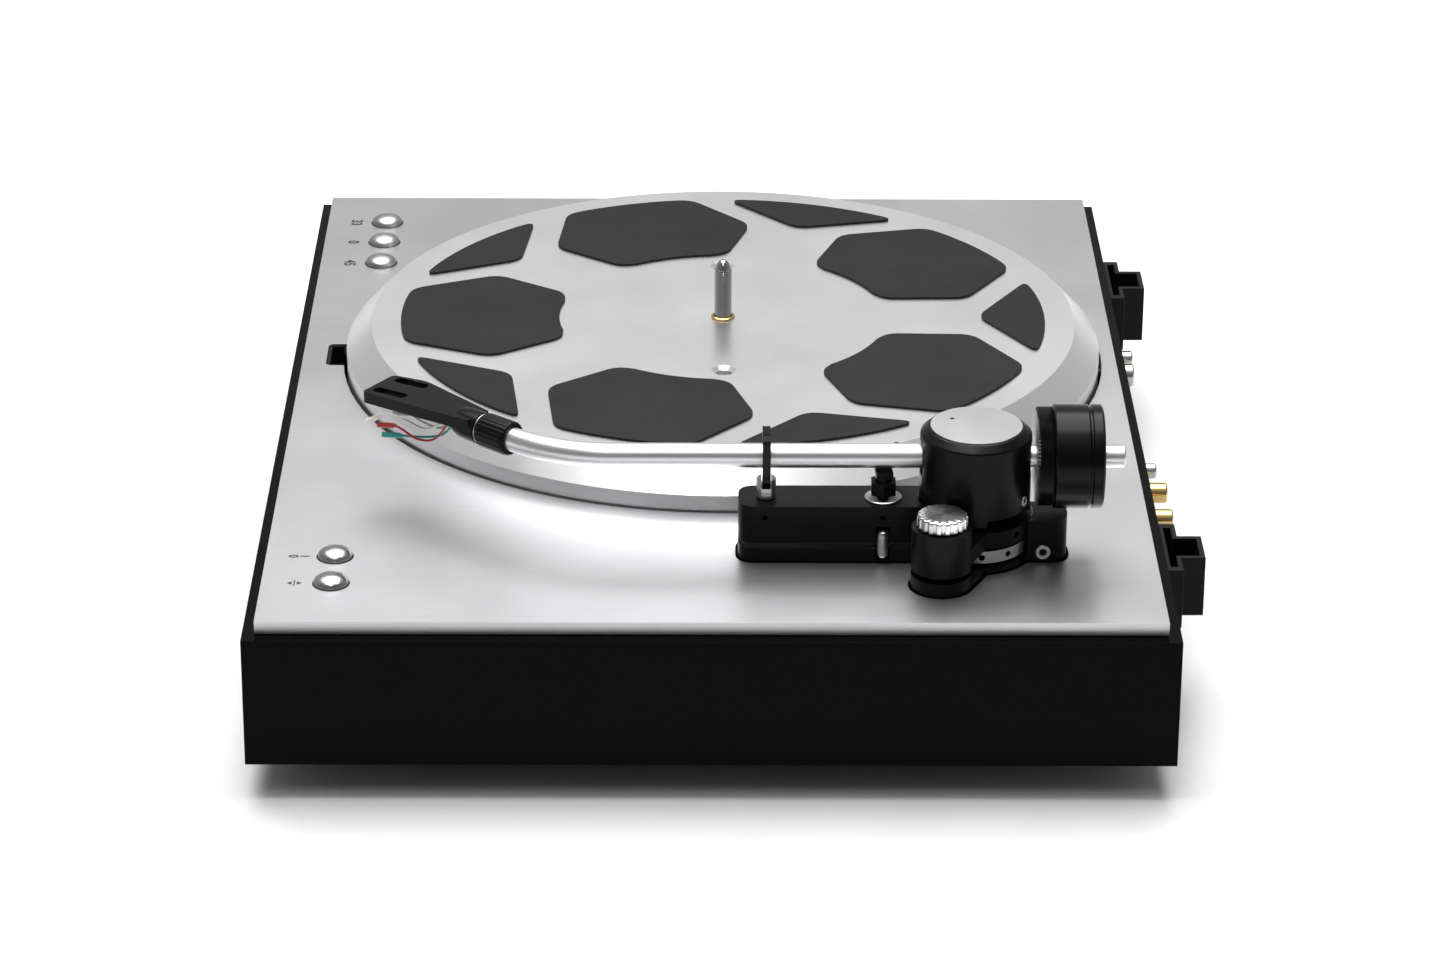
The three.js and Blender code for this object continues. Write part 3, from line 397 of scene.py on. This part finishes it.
def socket_screw(name, matrix, body, radius_mm, height_mm, material):
    """A round screw head with a hexagon socket."""
    sides = 48
    hexagon = []
    for i in range(sides):
        a = 2 * math.pi * i / sides
        reach = 0.5 * radius_mm / math.cos((a + math.pi / 6) % (math.pi / 3) - math.pi / 6)
        hexagon.append((reach * math.cos(a), reach * math.sin(a)))
    rings = [circle(radius_mm * MM, -0.5 * MM, sides), circle(radius_mm * MM, height_mm * MM, sides)]
    for depth in (0, 0.8):
        rings.append([(x * MM, y * MM, (height_mm - depth * radius_mm) * MM) for x, y in hexagon])
    screw = loft(name, rings, material, body=body, matrix=matrix)
    return soften(screw, 0.18 * radius_mm / 2)


# ---------------------------------------------------------------- leads
BEND_START_Y = -46 * MM
BEND_R = 59 * MM
BEND = math.radians(41)
BEND_END = Vector((PIVOT.x - BEND_R * (1 - math.cos(BEND)), BEND_START_Y - BEND_R * math.sin(BEND), ARM_Z))
HEAD = Matrix.Translation(BEND_END) @ Matrix.Rotation(math.pi - BEND, 4, "Z")
SHELL = HEAD @ Matrix.Translation((0, 16.1 * MM, 0))

# Route points and clip direction in the headshell's frame, mm.
LEADS = {
    "lead_white": (
        [(-4.5, 17.4, -1.2), (-6, 25, -5.6), (-7.4, 34, -4.2), (-8.4, 42, -3.4), (-8.8, 47, -5.2)],
        (-0.3, 7, -4.5)),
    "lead_red": (
        [(-1.6, 17.4, -1.2), (-1.2, 20.4, -6.6), (-1.6, 26, -12), (-3.6, 32.6, -12.6), (-6.2, 37.8, -9.2),
         (-7.4, 40.4, -8)], (-2, 7.4, -1.2)),
    "lead_green": (
        [(1.4, 17.4, -1.2), (3.4, 20.2, -6), (4, 26, -11.6), (1.4, 32, -13.4), (-2.6, 36.2, -13),
         (-6, 38.4, -12.2)], (-3.6, 7, -0.4)),
    "lead_blue": (
        [(4.4, 17.4, -1.2), (6, 23, -6.8), (6.6, 30, -10.6), (6, 37.4, -10.2), (4.4, 43.6, -7.6)],
        (-1.2, 7.8, -1.6)),
}
LEAD_R = 0.5
STEPS_PER_SPAN = 6


def smooth_route(via):
    """Catmull-Rom curve through the points."""
    points = [Vector(p) for p in via]
    ends = [2 * points[0] - points[1]] + points + [2 * points[-1] - points[-2]]
    route = []
    for k in range(len(points) - 1):
        p0, p1, p2, p3 = ends[k:k + 4]
        for step in range(STEPS_PER_SPAN):
            t = step / STEPS_PER_SPAN
            route.append(0.5 * (2 * p1 + (p2 - p0) * t + (2 * p0 - 5 * p1 + 4 * p2 - p3) * t * t
                                + (3 * p1 - p0 - 3 * p2 + p3) * t ** 3))
    return route + [points[-1]]


def add_lead(node, via, clip):
    route = [SHELL @ (p * MM) for p in smooth_route(via)]
    data = bpy.data.curves.new(f"{node}_wire", "CURVE")
    data.dimensions = "3D"
    spline = data.splines.new("POLY")
    spline.points.add(len(route) - 1)
    for point, place in zip(spline.points, route):
        point.co = (*place, 1)
    data.bevel_depth = LEAD_R * MM
    data.bevel_resolution = 4
    data.use_fill_caps = True
    data.materials.append(FINISH[SLOT_OF[node]])
    wire = bpy.data.objects.new(f"{node}_wire", data)
    bpy.context.collection.objects.link(wire)
    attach(wire, "arm")
    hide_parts(node)
    direction = SHELL.to_3x3() @ Vector(clip)
    reach = direction.length
    sleeve = turned(
        f"{node}_clip",
        [(0, -0.6), (0.62, -0.6), (0.7, 0), (0.95, 0.5), (1.1, 1.1), (1.1, reach - 0.25), (0.95, reach),
         (0.55, reach), (0.5, reach - 1.6), (0, reach - 1.6)],
        along(route[-1], direction), FINISH[SLOT_OF[node]], body="arm", sides=24, bevel_mm=0.08)


for lead, (via, clip) in LEADS.items():
    add_lead(lead, via, clip)

# ---------------------------------------------------------------- plinth, plate and feet
refine("plinth_frame", 1.3, 4)
refine("base_plate", 0.6)
refine("top_plate", 0.35, 2)
refine("notch_insert", 0.35)
for side in ("left", "right"):
    refine(f"hinge_socket_{side}", 0.4, join=False)
for node in ("foot_front_left", "foot_front_right", "foot_rear_left", "foot_rear_right"):
    spot = centre(node)
    height = top_of(node) / MM
    turned(f"{node}_body", [(0, 0), (13, 0), (14.5, 1.2), (14.5, 4), (16, 5), (16, height - 1), (15, height),
                            (0, height)], along((spot.x, spot.y, 0)), node=node, bevel_mm=0.5)

BUTTONS = ("button_33", "button_stop", "button_45", "button_power", "button_lift")
for node in BUTTONS:
    spot = centre(node)
    crown = (top_of(node) - PLATE_TOP) / MM
    turned(f"{node}_body", [(0, -11), (6.7, -11), (6.7, crown - 3.2), (6.45, crown - 2.5), (6, crown - 1.95),
                            (5.2, crown - 1.35), (4.3, crown - 0.9), (3.2, crown - 0.5), (2.1, crown - 0.22),
                            (1, crown - 0.05), (0, crown)],
           along((spot.x, spot.y, PLATE_TOP)), node=node, sides=64, bevel_mm=0.25)

# ---------------------------------------------------------------- printed marks
LABEL_OUT = 14 * MM
LABEL_SIZE = 6.8 * MM
INK_T = 0.03 * MM


def add_label(name, text, x, y, size=LABEL_SIZE):
    data = bpy.data.curves.new(name, "FONT")
    data.body = text
    data.size = size
    data.space_line = 0.85
    data.align_x = "CENTER"
    data.align_y = "CENTER"
    data.extrude = INK_T / 2
    data.offset = 0.03 * size
    data.materials.append(PRINT_INK)
    label = bpy.data.objects.new(name, data)
    label.location = (x, y, PLATE_TOP + INK_T)
    bpy.context.collection.objects.link(label)
    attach(label, "plinth")


for node, text, size in (("button_33", "33", LABEL_SIZE), ("button_stop", "0", LABEL_SIZE),
                         ("button_45", "45", LABEL_SIZE), ("button_power", "I\n0", 0.75 * LABEL_SIZE)):
    spot = centre(node)
    add_label(f"mark_{node}", text, spot.x, spot.y - LABEL_OUT, size)


def add_lift_mark(x, y):
    """A bar between two small triangles, one up and one down."""
    shapes = [[(-2.6, -0.25), (2.6, -0.25), (2.6, 0.25), (-2.6, 0.25)],
              [(-1.5, 1), (1.5, 1), (0, 2.9)], [(1.5, -1), (-1.5, -1), (0, -2.9)]]
    bm = bmesh.new()
    for shape in shapes:
        low = [bm.verts.new((x + px * MM, y + py * MM, PLATE_TOP + INK_T / 2)) for px, py in shape]
        face = bm.faces.new(low)
        lifted = bmesh.ops.extrude_face_region(bm, geom=[face])["geom"]
        bmesh.ops.translate(bm, vec=(0, 0, INK_T),
                            verts=[v for v in lifted if isinstance(v, bmesh.types.BMVert)])
    bmesh.ops.recalc_face_normals(bm, faces=bm.faces)
    mesh = bpy.data.meshes.new("mark_lift")
    bm.to_mesh(mesh)
    bm.free()
    new_piece("mark_lift", mesh, PRINT_INK, body="plinth")


lift_button = centre("button_lift")
add_lift_mark(lift_button.x, lift_button.y - LABEL_OUT)

# ---------------------------------------------------------------- rear jacks
JACK_R = {"rca_jack_left": 4.2, "rca_jack_right": 4.2, "ground_post": 3.2, "power_socket": 5,
          "trigger_socket": 3.6}
INSULATOR = {"rca_jack_left": "lead_white_pvc", "rca_jack_right": "lead_red_pvc"}
REAR_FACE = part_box("plinth_frame")[1][1]
JACK_DEPTH = 13.9
for node, radius in JACK_R.items():
    spot = centre(node)
    tip = (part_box(node)[1][1] - REAR_FACE) / MM
    rim = radius + (1.6 if node.startswith("rca") else 1.2)
    seat = along((spot.x, REAR_FACE, spot.z), (0, 1, 0))
    turned(f"{node}_body", [(0, -JACK_DEPTH), (radius, -JACK_DEPTH), (radius, 0.1), (rim, 0.1), (rim, 2.1),
                            (radius, 2.1), (radius, tip - 0.6), (radius - 0.6, tip), (radius - 1.4, tip),
                            (radius - 1.4, tip - 2.4), (0, tip - 2.4)], seat, node=node, sides=48)
    filling = FINISH[INSULATOR.get(node, "black_plastic")]
    turned(f"{node}_insulator", [(1.2, tip - 2.3), (radius - 1.5, tip - 2.3), (radius - 1.5, tip - 0.9),
                                 (1.2, tip - 0.9), (1.2, tip - 2.3)], seat, filling, body="plinth", sides=32)

# ---------------------------------------------------------------- drive and platter
refine("sub_chassis", 0.6)
refine("motor", 0.5)
refine("motor_pulley", 0.2)

# The springs keep the shape of the CAD coils, smooth-shaded, each with a mesh of its own.
for i in range(1, 4):
    node = f"suspension_spring_{i}"
    spring_mesh = frame["nodes"][node].data.copy()
    for face in spring_mesh.polygons:
        face.use_smooth = True
    spring = new_piece(f"{node}_wire", spring_mesh, FINISH[SLOT_OF[node]], node)
    spot = centre(node)
    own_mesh(spring)

platter_axis = along((SPINDLE.x, SPINDLE.y, PLATTER_TOP))
LIFT_HOLE_X = 57.5 * MM
hole_tools = [cutter([(0, -9), (3.5, -9), (3.5, -1.7), (5.3, 0.1), (5.3, 1), (0, 1)],
                     along((SPINDLE.x + sign * LIFT_HOLE_X, SPINDLE.y, PLATTER_TOP))) for sign in (-1, 1)]
platter = turned("platter_body", [(3.9, -7.6), (146, -7.6), (146, -26.1), (158.6, -26.1), (158.6, -10.9),
                                  (148, 0), (3.9, 0), (3.9, -7.6)], platter_axis, node="platter", sides=256,
                 bevel_mm=0.3)
platter.modifiers.clear()
cut(platter, hole_tools)
BAND_INNER = 148.5 * MM


def on_band(face):
    reach = (Vector(face.center) - SPINDLE).xy.length
    return reach > BAND_INNER and 0.3 < face.normal.z < 0.95


repaint(platter, POLISHED_BAND, on_band)
soften(platter, 0.3)

spindle_top = (top_of("sub_platter") - PLATTER_TOP) / MM
sub_low = (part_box("sub_platter")[0][2] - PLATTER_TOP) / MM
turned("sub_platter_body",
       [(0, sub_low), (4.1, sub_low), (4.1, -23.1), (12, -23.1), (12, -18.1), (77, -18.1), (77, -22.1),
        (85, -22.1), (85, -7.9), (3.6, -7.9), (3.6, spindle_top - 4.6), (3.35, spindle_top - 3.6),
        (2.8, spindle_top - 2.2), (1.9, spindle_top - 0.9), (1, spindle_top - 0.25), (0, spindle_top)],
       platter_axis, node="sub_platter", sides=96)
turned("spindle_ring_body", [(3.9, 0.1), (5, 0.1), (5, 0.6), (4.4, 1), (3.9, 1), (3.9, 0.1)],
       platter_axis, node="spindle_ring", sides=64, bevel_mm=0.1)

# Pad corners as [radius, angle from the pad's centre line, corner cut], mm and degrees.
PAD_OUTER_R = 135.6
CORNER_STEPS = 8


def arc(radius, start, end, steps):
    return [(radius, start + (end - start) * i / steps, 0) for i in range(steps + 1)]


LARGE_PAD = [(PAD_OUTER_R, -12.3, 6), *arc(PAD_OUTER_R, -8, 8, 12), (PAD_OUTER_R, 12.3, 6), (106, 24.8, 6),
             (71.5, 20, 5), *arc(69, 14, -14, 12), (71.5, -20, 5), (106, -24.8, 6)]
SMALL_PAD = [(107.5, 0, 6), (PAD_OUTER_R, -16.5, 6), *arc(PAD_OUTER_R, -12, 12, 14), (PAD_OUTER_R, 16.5, 6)]


def pad_outline(heading, corners):
    """The corner list as points round the spindle, each cut corner a smooth curve."""
    places = []
    for radius, angle, cut_mm in corners:
        turn = math.radians(heading + angle)
        places.append((Vector((radius * math.cos(turn), radius * math.sin(turn))), cut_mm))
    outline = []
    for i, (corner, cut_mm) in enumerate(places):
        if not cut_mm:
            outline.append(corner)
            continue
        start = corner + (places[i - 1][0] - corner).normalized() * cut_mm
        end = corner + (places[(i + 1) % len(places)][0] - corner).normalized() * cut_mm
        for step in range(CORNER_STEPS + 1):
            t = step / CORNER_STEPS
            outline.append((1 - t) ** 2 * start + 2 * t * (1 - t) * corner + t ** 2 * end)
    return outline


def add_pad(node, outline):
    lo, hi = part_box(node)
    rings = [[(SPINDLE.x + p.x * MM, SPINDLE.y + p.y * MM, z) for p in outline] for z in (lo[2], hi[2])]
    pad = loft(f"{node}_body", rings, FINISH["pad_rubber"], node)
    soften(pad, 0.22)


for i in range(5):
    add_pad(f"pad_large_{i + 1}", pad_outline(270 + 72 * i, LARGE_PAD))
    add_pad(f"pad_small_{i + 1}", pad_outline(90 + 72 * i, SMALL_PAD))

# ---------------------------------------------------------------- arm base
def round_the_pivot(angle, radius_mm, z):
    """A point and an outward direction on a circle about the arm pivot."""
    out = Vector((math.cos(math.radians(angle)), math.sin(math.radians(angle)), 0))
    return Vector((PIVOT.x, PIVOT.y, z)) + out * radius_mm * MM, out


RING_R = 22.1
SET_SCREW_ANGLE = 45
ring_z = centre("height_ring").z


def radial_cutter(angle, radius_mm, z, hole_mm, depth_mm=2.2):
    point, out = round_the_pivot(angle, radius_mm, z)
    return cutter([(0, -depth_mm), (hole_mm, -depth_mm), (hole_mm, 1), (0, 1)], along(point, out), 20)


UPPER_SCREW_Z = PLINTH_TOP + 19.4 * MM
refine("arm_base_upper", 0.7, cutters=[radial_cutter(SET_SCREW_ANGLE, RING_R, UPPER_SCREW_Z, 1.3)])
refine("arm_base_lower", 0.5)
refine("guide_pin", 0.2)
refine("lift_platform", 0.3)
post = centre("rest_post")
post_lo, post_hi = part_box("rest_post")
post_h = (post_hi[2] - post_lo[2]) / MM
POST_R = 3.8
HOOK_SLOT_W = 3.7
HOOK_SLOT_DEPTH = 6.5
HOOK_PIN_DROP = 2.5
post_body = turned("rest_post_body", [(0, 0), (POST_R, 0), (POST_R, post_h - 0.4), (POST_R - 0.4, post_h),
                                      (0, post_h)],
                   along((post.x, post.y, post_lo[2])), node="rest_post", sides=48)
post_body.modifiers.clear()
half_w = HOOK_SLOT_W / 2
slot_outline = ((-5, -half_w), (5, -half_w), (5, half_w), (-5, half_w))
slot_rings = [[(post.x + x * MM, post.y + y * MM, z) for x, y in slot_outline]
              for z in (post_hi[2] - HOOK_SLOT_DEPTH * MM, post_hi[2] + MM)]
cut(post_body, [cutting_tool(slot_rings, capped=True)])
soften(post_body, 0.2)
turned("rest_hook_pin", [(0, -3.3), (0.9, -3.3), (0.9, 3.3), (0, 3.3)],
       along((post.x, post.y, post_hi[2] - HOOK_PIN_DROP * MM), (0, 1, 0)), FINISH["bright_steel"],
       body=BODY_OF["rest_post"], sides=24, bevel_mm=0.1)
refine("rest_hook", 0.55)

VTA_R = 21.3
ring_half = 2.55
height_ring = turned("height_ring_body", [(9.4, -ring_half), (VTA_R, -ring_half), (VTA_R, ring_half),
                                          (9.4, ring_half), (9.4, -ring_half)],
                     along((PIVOT.x, PIVOT.y, ring_z)), node="height_ring", sides=120)
height_ring.modifiers.clear()
cut(height_ring, [radial_cutter(5.5 + 30 * k, VTA_R, ring_z, 1.15, 3.5) for k in range(12)])


def in_a_hole(face):
    reach = (Vector(face.center) - PIVOT).xy.length
    return 12 * MM < reach < (VTA_R - 0.15) * MM and abs(face.center.z - ring_z) < 1.3 * MM


# The hole walls take near-black colour: painted shade inside the height ring's holes.
repaint(height_ring, PAINTED_HOLE_SHADE, in_a_hole)
soften(height_ring, 0.25)

bushing = centre("lift_bushing")
BLOCK_TOP = top_of("arm_base_upper") - 1.3 * MM
turned("lift_bushing_body", [(2.6, 0.1), (7.2, 0.1), (7.2, 0.5), (6.8, 0.8), (6.2, 0.75), (4.6, 0.42),
                             (2.6, 0.4),
                             (2.6, 0.1)], along((bushing.x, bushing.y, BLOCK_TOP)), node="lift_bushing",
       sides=64, bevel_mm=0.08)

# Fluted knob with a turned top.
KNOB_R = 9.7
FLUTES = 18
KNOB_SIDES = 16 * FLUTES


def fluted(radius, height, depth):
    ring = []
    for i in range(KNOB_SIDES):
        a = 2 * math.pi * i / KNOB_SIDES
        dip = max(0.0, math.cos(FLUTES * a)) ** 0.7 * depth
        ring.append(((radius - dip) * math.cos(a) * MM, (radius - dip) * math.sin(a) * MM, height * MM))
    return ring


knob_spot = centre("antiskate_knob")
knob_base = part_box("antiskate_knob")[0][2]
knob_h = (top_of("antiskate_knob") - knob_base) / MM
knob = loft("antiskate_knob_body",
            [fluted(KNOB_R - 0.3, 0, 0.5), fluted(KNOB_R, 0.3, 0.62), fluted(KNOB_R, knob_h - 0.9, 0.62),
             fluted(KNOB_R - 0.5, knob_h - 0.25, 0.3), fluted(KNOB_R - 0.9, knob_h, 0)]
            + [circle(r * MM, knob_h * MM, KNOB_SIDES) for r in (6, 3, 1, 0.3)],
            FINISH["knob_alloy"], "antiskate_knob", matrix=along((knob_spot.x, knob_spot.y, knob_base)))
soften(knob, 0.1, 1, 50)

CLAMP_Y = 119.4 * MM
CLAMP_Z = PLINTH_TOP + 10.1 * MM
CLAMP_X = 167.6 * MM
socket_screw("base_clamp_screw", along((CLAMP_X, CLAMP_Y, CLAMP_Z), (1, 0, 0)), "sub_chassis", 2.85, 1.35,
             FINISH["bright_steel"])

# ---------------------------------------------------------------- pivot housing
CUP_R = 21.5
refine("pivot_housing", 0.6, 4)
point, out = round_the_pivot(59, CUP_R - 0.1, PLINTH_TOP + 31.4 * MM)
socket_screw("bearing_screw", along(point, out), "pivot_housing", 2.1, 0.45, FINISH["bright_steel"])
cap_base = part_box("pivot_cap")[0][2]
cap_dot = cutter([(0, -1), (0.9, -1), (0.9, 1), (0, 1)],
                 along((PIVOT.x - 6 * MM, PIVOT.y - 9 * MM, cap_base)), 24)
cap = turned("pivot_cap_body", [(0, 0), (17.6, 0), (17.6, 0.4), (0, 0.4)],
             along((PIVOT.x, PIVOT.y, cap_base)), node="pivot_cap", sides=128)
cap.modifiers.clear()
cut(cap, [cap_dot])
soften(cap, 0.1)

# ---------------------------------------------------------------- arm tube, collar, headshell
TUBE_R = 4.8
COLLAR_L = 14.4
TUBE_SIDES = 48


def tube_rings():
    """Circles across the tube from behind the pivot, round the bend and into the collar."""
    stations = [(Vector((PIVOT.x, y, ARM_Z)), 0.0) for y in (PIVOT.y + 8 * MM, PIVOT.y - 60 * MM, -20 * MM)]
    bends = 24
    for i in range(bends + 1):
        a = BEND * i / bends
        x, y = PIVOT.x - BEND_R * (1 - math.cos(a)), BEND_START_Y - BEND_R * math.sin(a)
        stations.append((Vector((x, y, ARM_Z)), a))
    stations.append((HEAD @ Vector((0, (COLLAR_L + 1) * MM, 0)), BEND))
    rings = []
    for spot, a in stations:
        across = Vector((math.cos(a), -math.sin(a), 0))
        rings.append([spot + across * u + Vector((0, 0, 1)) * v
                      for u, v, _ in circle(TUBE_R * MM, 0, TUBE_SIDES)])
    return rings


tube = loft("arm_tube_body", tube_rings(), FINISH["tube_alloy"], "arm_tube")
soften(tube, 0.2)
stub_end = (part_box("arm_tube")[1][1] - PIVOT.y) / MM
turned("arm_stub", [(0, 0), (4.4, 0), (4.4, stub_end - 0.6), (3.8, stub_end), (2.2, stub_end),
                    (1.9, stub_end - 1.2), (0, stub_end - 1.2)],
       along((PIVOT.x, PIVOT.y, ARM_Z), (0, 1, 0)), FINISH["tube_alloy"], body="arm", sides=64)
turned("neck_washer", [(0, 0), (6.2, 0), (6.2, 0.45), (0, 0.45)],
       along(HEAD @ Vector((0, (COLLAR_L + 0.8) * MM, 0)), HEAD.to_3x3() @ Vector((0, 1, 0))),
       FINISH["bright_steel"], body="arm", sides=64)
turned("arm_axle", [(0, -16.6), (3, -16.6), (3, 16.6), (0, 16.6)],
       along((PIVOT.x, PIVOT.y, ARM_Z), (1, 0, 0)), FINISH["bright_steel"], body="arm", sides=32)

COLLAR_R = 6.85
COLLAR_RIBS = 20
COLLAR_SIDES = 8 * COLLAR_RIBS


def ribbed(radius, height):
    ring = []
    for i in range(COLLAR_SIDES):
        a = 2 * math.pi * i / COLLAR_SIDES
        dip = 0.22 * (1 - abs(math.cos(COLLAR_RIBS * a / 2)) ** 0.5)
        ring.append(((radius - dip) * math.cos(a) * MM, (radius - dip) * math.sin(a) * MM, height * MM))
    return ring


collar = loft("headshell_collar_body",
              [circle(5.1 * MM, 0, COLLAR_SIDES), circle(6.2 * MM, 0, COLLAR_SIDES),
               ribbed(COLLAR_R - 0.1, 0.7), ribbed(COLLAR_R, 1.2), ribbed(COLLAR_R, COLLAR_L - 1),
               circle(6.5 * MM, COLLAR_L * MM, COLLAR_SIDES), circle(5.1 * MM, COLLAR_L * MM, COLLAR_SIDES)],
              FINISH["arm_base_black"], "headshell_collar",
              matrix=along(HEAD @ Vector((0, 0.3 * MM, 0)), HEAD.to_3x3() @ Vector((0, 1, 0))), closed=True)
soften(collar, 0.12, 2, 40)
refine("headshell", 0.45)

# ---------------------------------------------------------------- counterweight
WEIGHT_R = 20
weight_lo, weight_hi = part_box("counterweight")
weight_l = (weight_hi[1] - weight_lo[1]) / MM
turned("counterweight_body",
       [(4.7, 0), (WEIGHT_R - 0.6, 0), (WEIGHT_R, 0.6), (WEIGHT_R, 13.25), (WEIGHT_R - 0.6, 13.6),
        (WEIGHT_R - 0.6, 14.5), (WEIGHT_R, 14.85), (WEIGHT_R, weight_l - 0.8), (WEIGHT_R - 0.8, weight_l),
        (8, weight_l), (7.4, weight_l - 0.8), (4.7, weight_l - 0.8), (4.7, 0)],
       along((PIVOT.x, weight_lo[1], ARM_Z), (0, 1, 0)), node="counterweight", sides=128)

KNURL_R = 19
KNURL_TEETH = 80
KNURL_ROWS = 11
ring_lo, ring_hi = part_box("counterweight_ring")
knurl_l = (ring_hi[1] - ring_lo[1]) / MM


def knurled(height, row):
    """One row of diamond knurling: every other tooth stands out, and the rows alternate."""
    ring = []
    for i in range(2 * KNURL_TEETH):
        a = math.pi * i / KNURL_TEETH
        radius = KNURL_R - (0.5 if (i + row) % 2 else 0)
        ring.append((radius * math.cos(a) * MM, radius * math.sin(a) * MM, height * MM))
    return ring


KNURL_FLANK_R = 18.42
knurl_start = 0.7
knurl_step = (knurl_l - knurl_start - 0.2) / (KNURL_ROWS - 1)
knurl_sides = 2 * KNURL_TEETH
knurl_ring = loft(
    "counterweight_ring_body",
    [circle(4.7 * MM, 0, knurl_sides), circle(18.3 * MM, 0, knurl_sides)]
    + [knurled(knurl_start + row * knurl_step, row) for row in range(KNURL_ROWS)]
    + [circle(18.4 * MM, knurl_l * MM, knurl_sides), circle(4.7 * MM, knurl_l * MM, knurl_sides)],
    FINISH["weight_black"], "counterweight_ring", matrix=along((PIVOT.x, ring_lo[1], ARM_Z), (0, 1, 0)),
    closed=True)


def off_axis(face):
    """How far a face's centre is from the line of the arm."""
    return (Vector(face.center) - Vector((PIVOT.x, face.center[1], ARM_Z))).length


repaint(knurl_ring, KNURL_BLACK, lambda face: off_axis(face) > KNURL_FLANK_R * MM)
repaint(knurl_ring, FINISH["cap_alloy"],
        lambda face: face.normal.y < -0.9 and face.center[1] < ring_lo[1] + 0.1 * MM)

# ---------------------------------------------------------------- floor and light
FLOOR_SIZE = 8


def add_floor():
    mesh = bpy.data.meshes.new("floor")
    half = FLOOR_SIZE / 2
    mesh.from_pydata([(-half, -half, 0), (half, -half, 0), (half, half, 0), (-half, half, 0)], [],
                     [(0, 1, 2, 3)])
    mesh.materials.append(finish_material("floor_white", (0.78, 0.78, 0.78), 0.75, fine=40, tint=0.01,
                                          bump=0.0))
    floor = bpy.data.objects.new("floor", mesh)
    bpy.context.collection.objects.link(floor)


def add_softbox(name, place, target, size, power):
    data = bpy.data.lights.new(name, "AREA")
    data.shape = "RECTANGLE"
    data.size, data.size_y = size
    data.energy = power
    lamp = bpy.data.objects.new(name, data)
    lamp.location = place
    lamp.rotation_euler = (Vector(target) - Vector(place)).to_track_quat("-Z", "Y").to_euler()
    bpy.context.collection.objects.link(lamp)


add_floor()
add_softbox("overhead", (-0.4, -0.1, 2.1), (0, 0, 0), (2.1, 2.1), 84)
add_softbox("front_strip", (0.95, -0.1, 2.0), (0, 0, 0), (0.4, 1.4), 9)


def add_studio_world(back, front):
    """White all round, brighter from the backdrop side (-X) than from the front."""
    world = bpy.data.worlds.new("studio")
    bpy.context.scene.world = world
    world.use_nodes = True
    background = world.node_tree.nodes["Background"]
    background.inputs["Color"].default_value = (1, 1, 1, 1)
    coords = add_node(world, "ShaderNodeTexCoord").outputs["Generated"]
    side = add_node(world, "ShaderNodeSeparateXYZ", inputs={"Vector": coords}).outputs["X"]
    level = add_node(world, "ShaderNodeMapRange", inputs={
        "Value": side, "From Min": -1.0, "From Max": 1.0, "To Min": back, "To Max": front}).outputs["Result"]
    world.node_tree.links.new(level, background.inputs["Strength"])


add_studio_world(0.5, 0.16)
bpy.context.scene.view_settings.view_transform = "Standard"
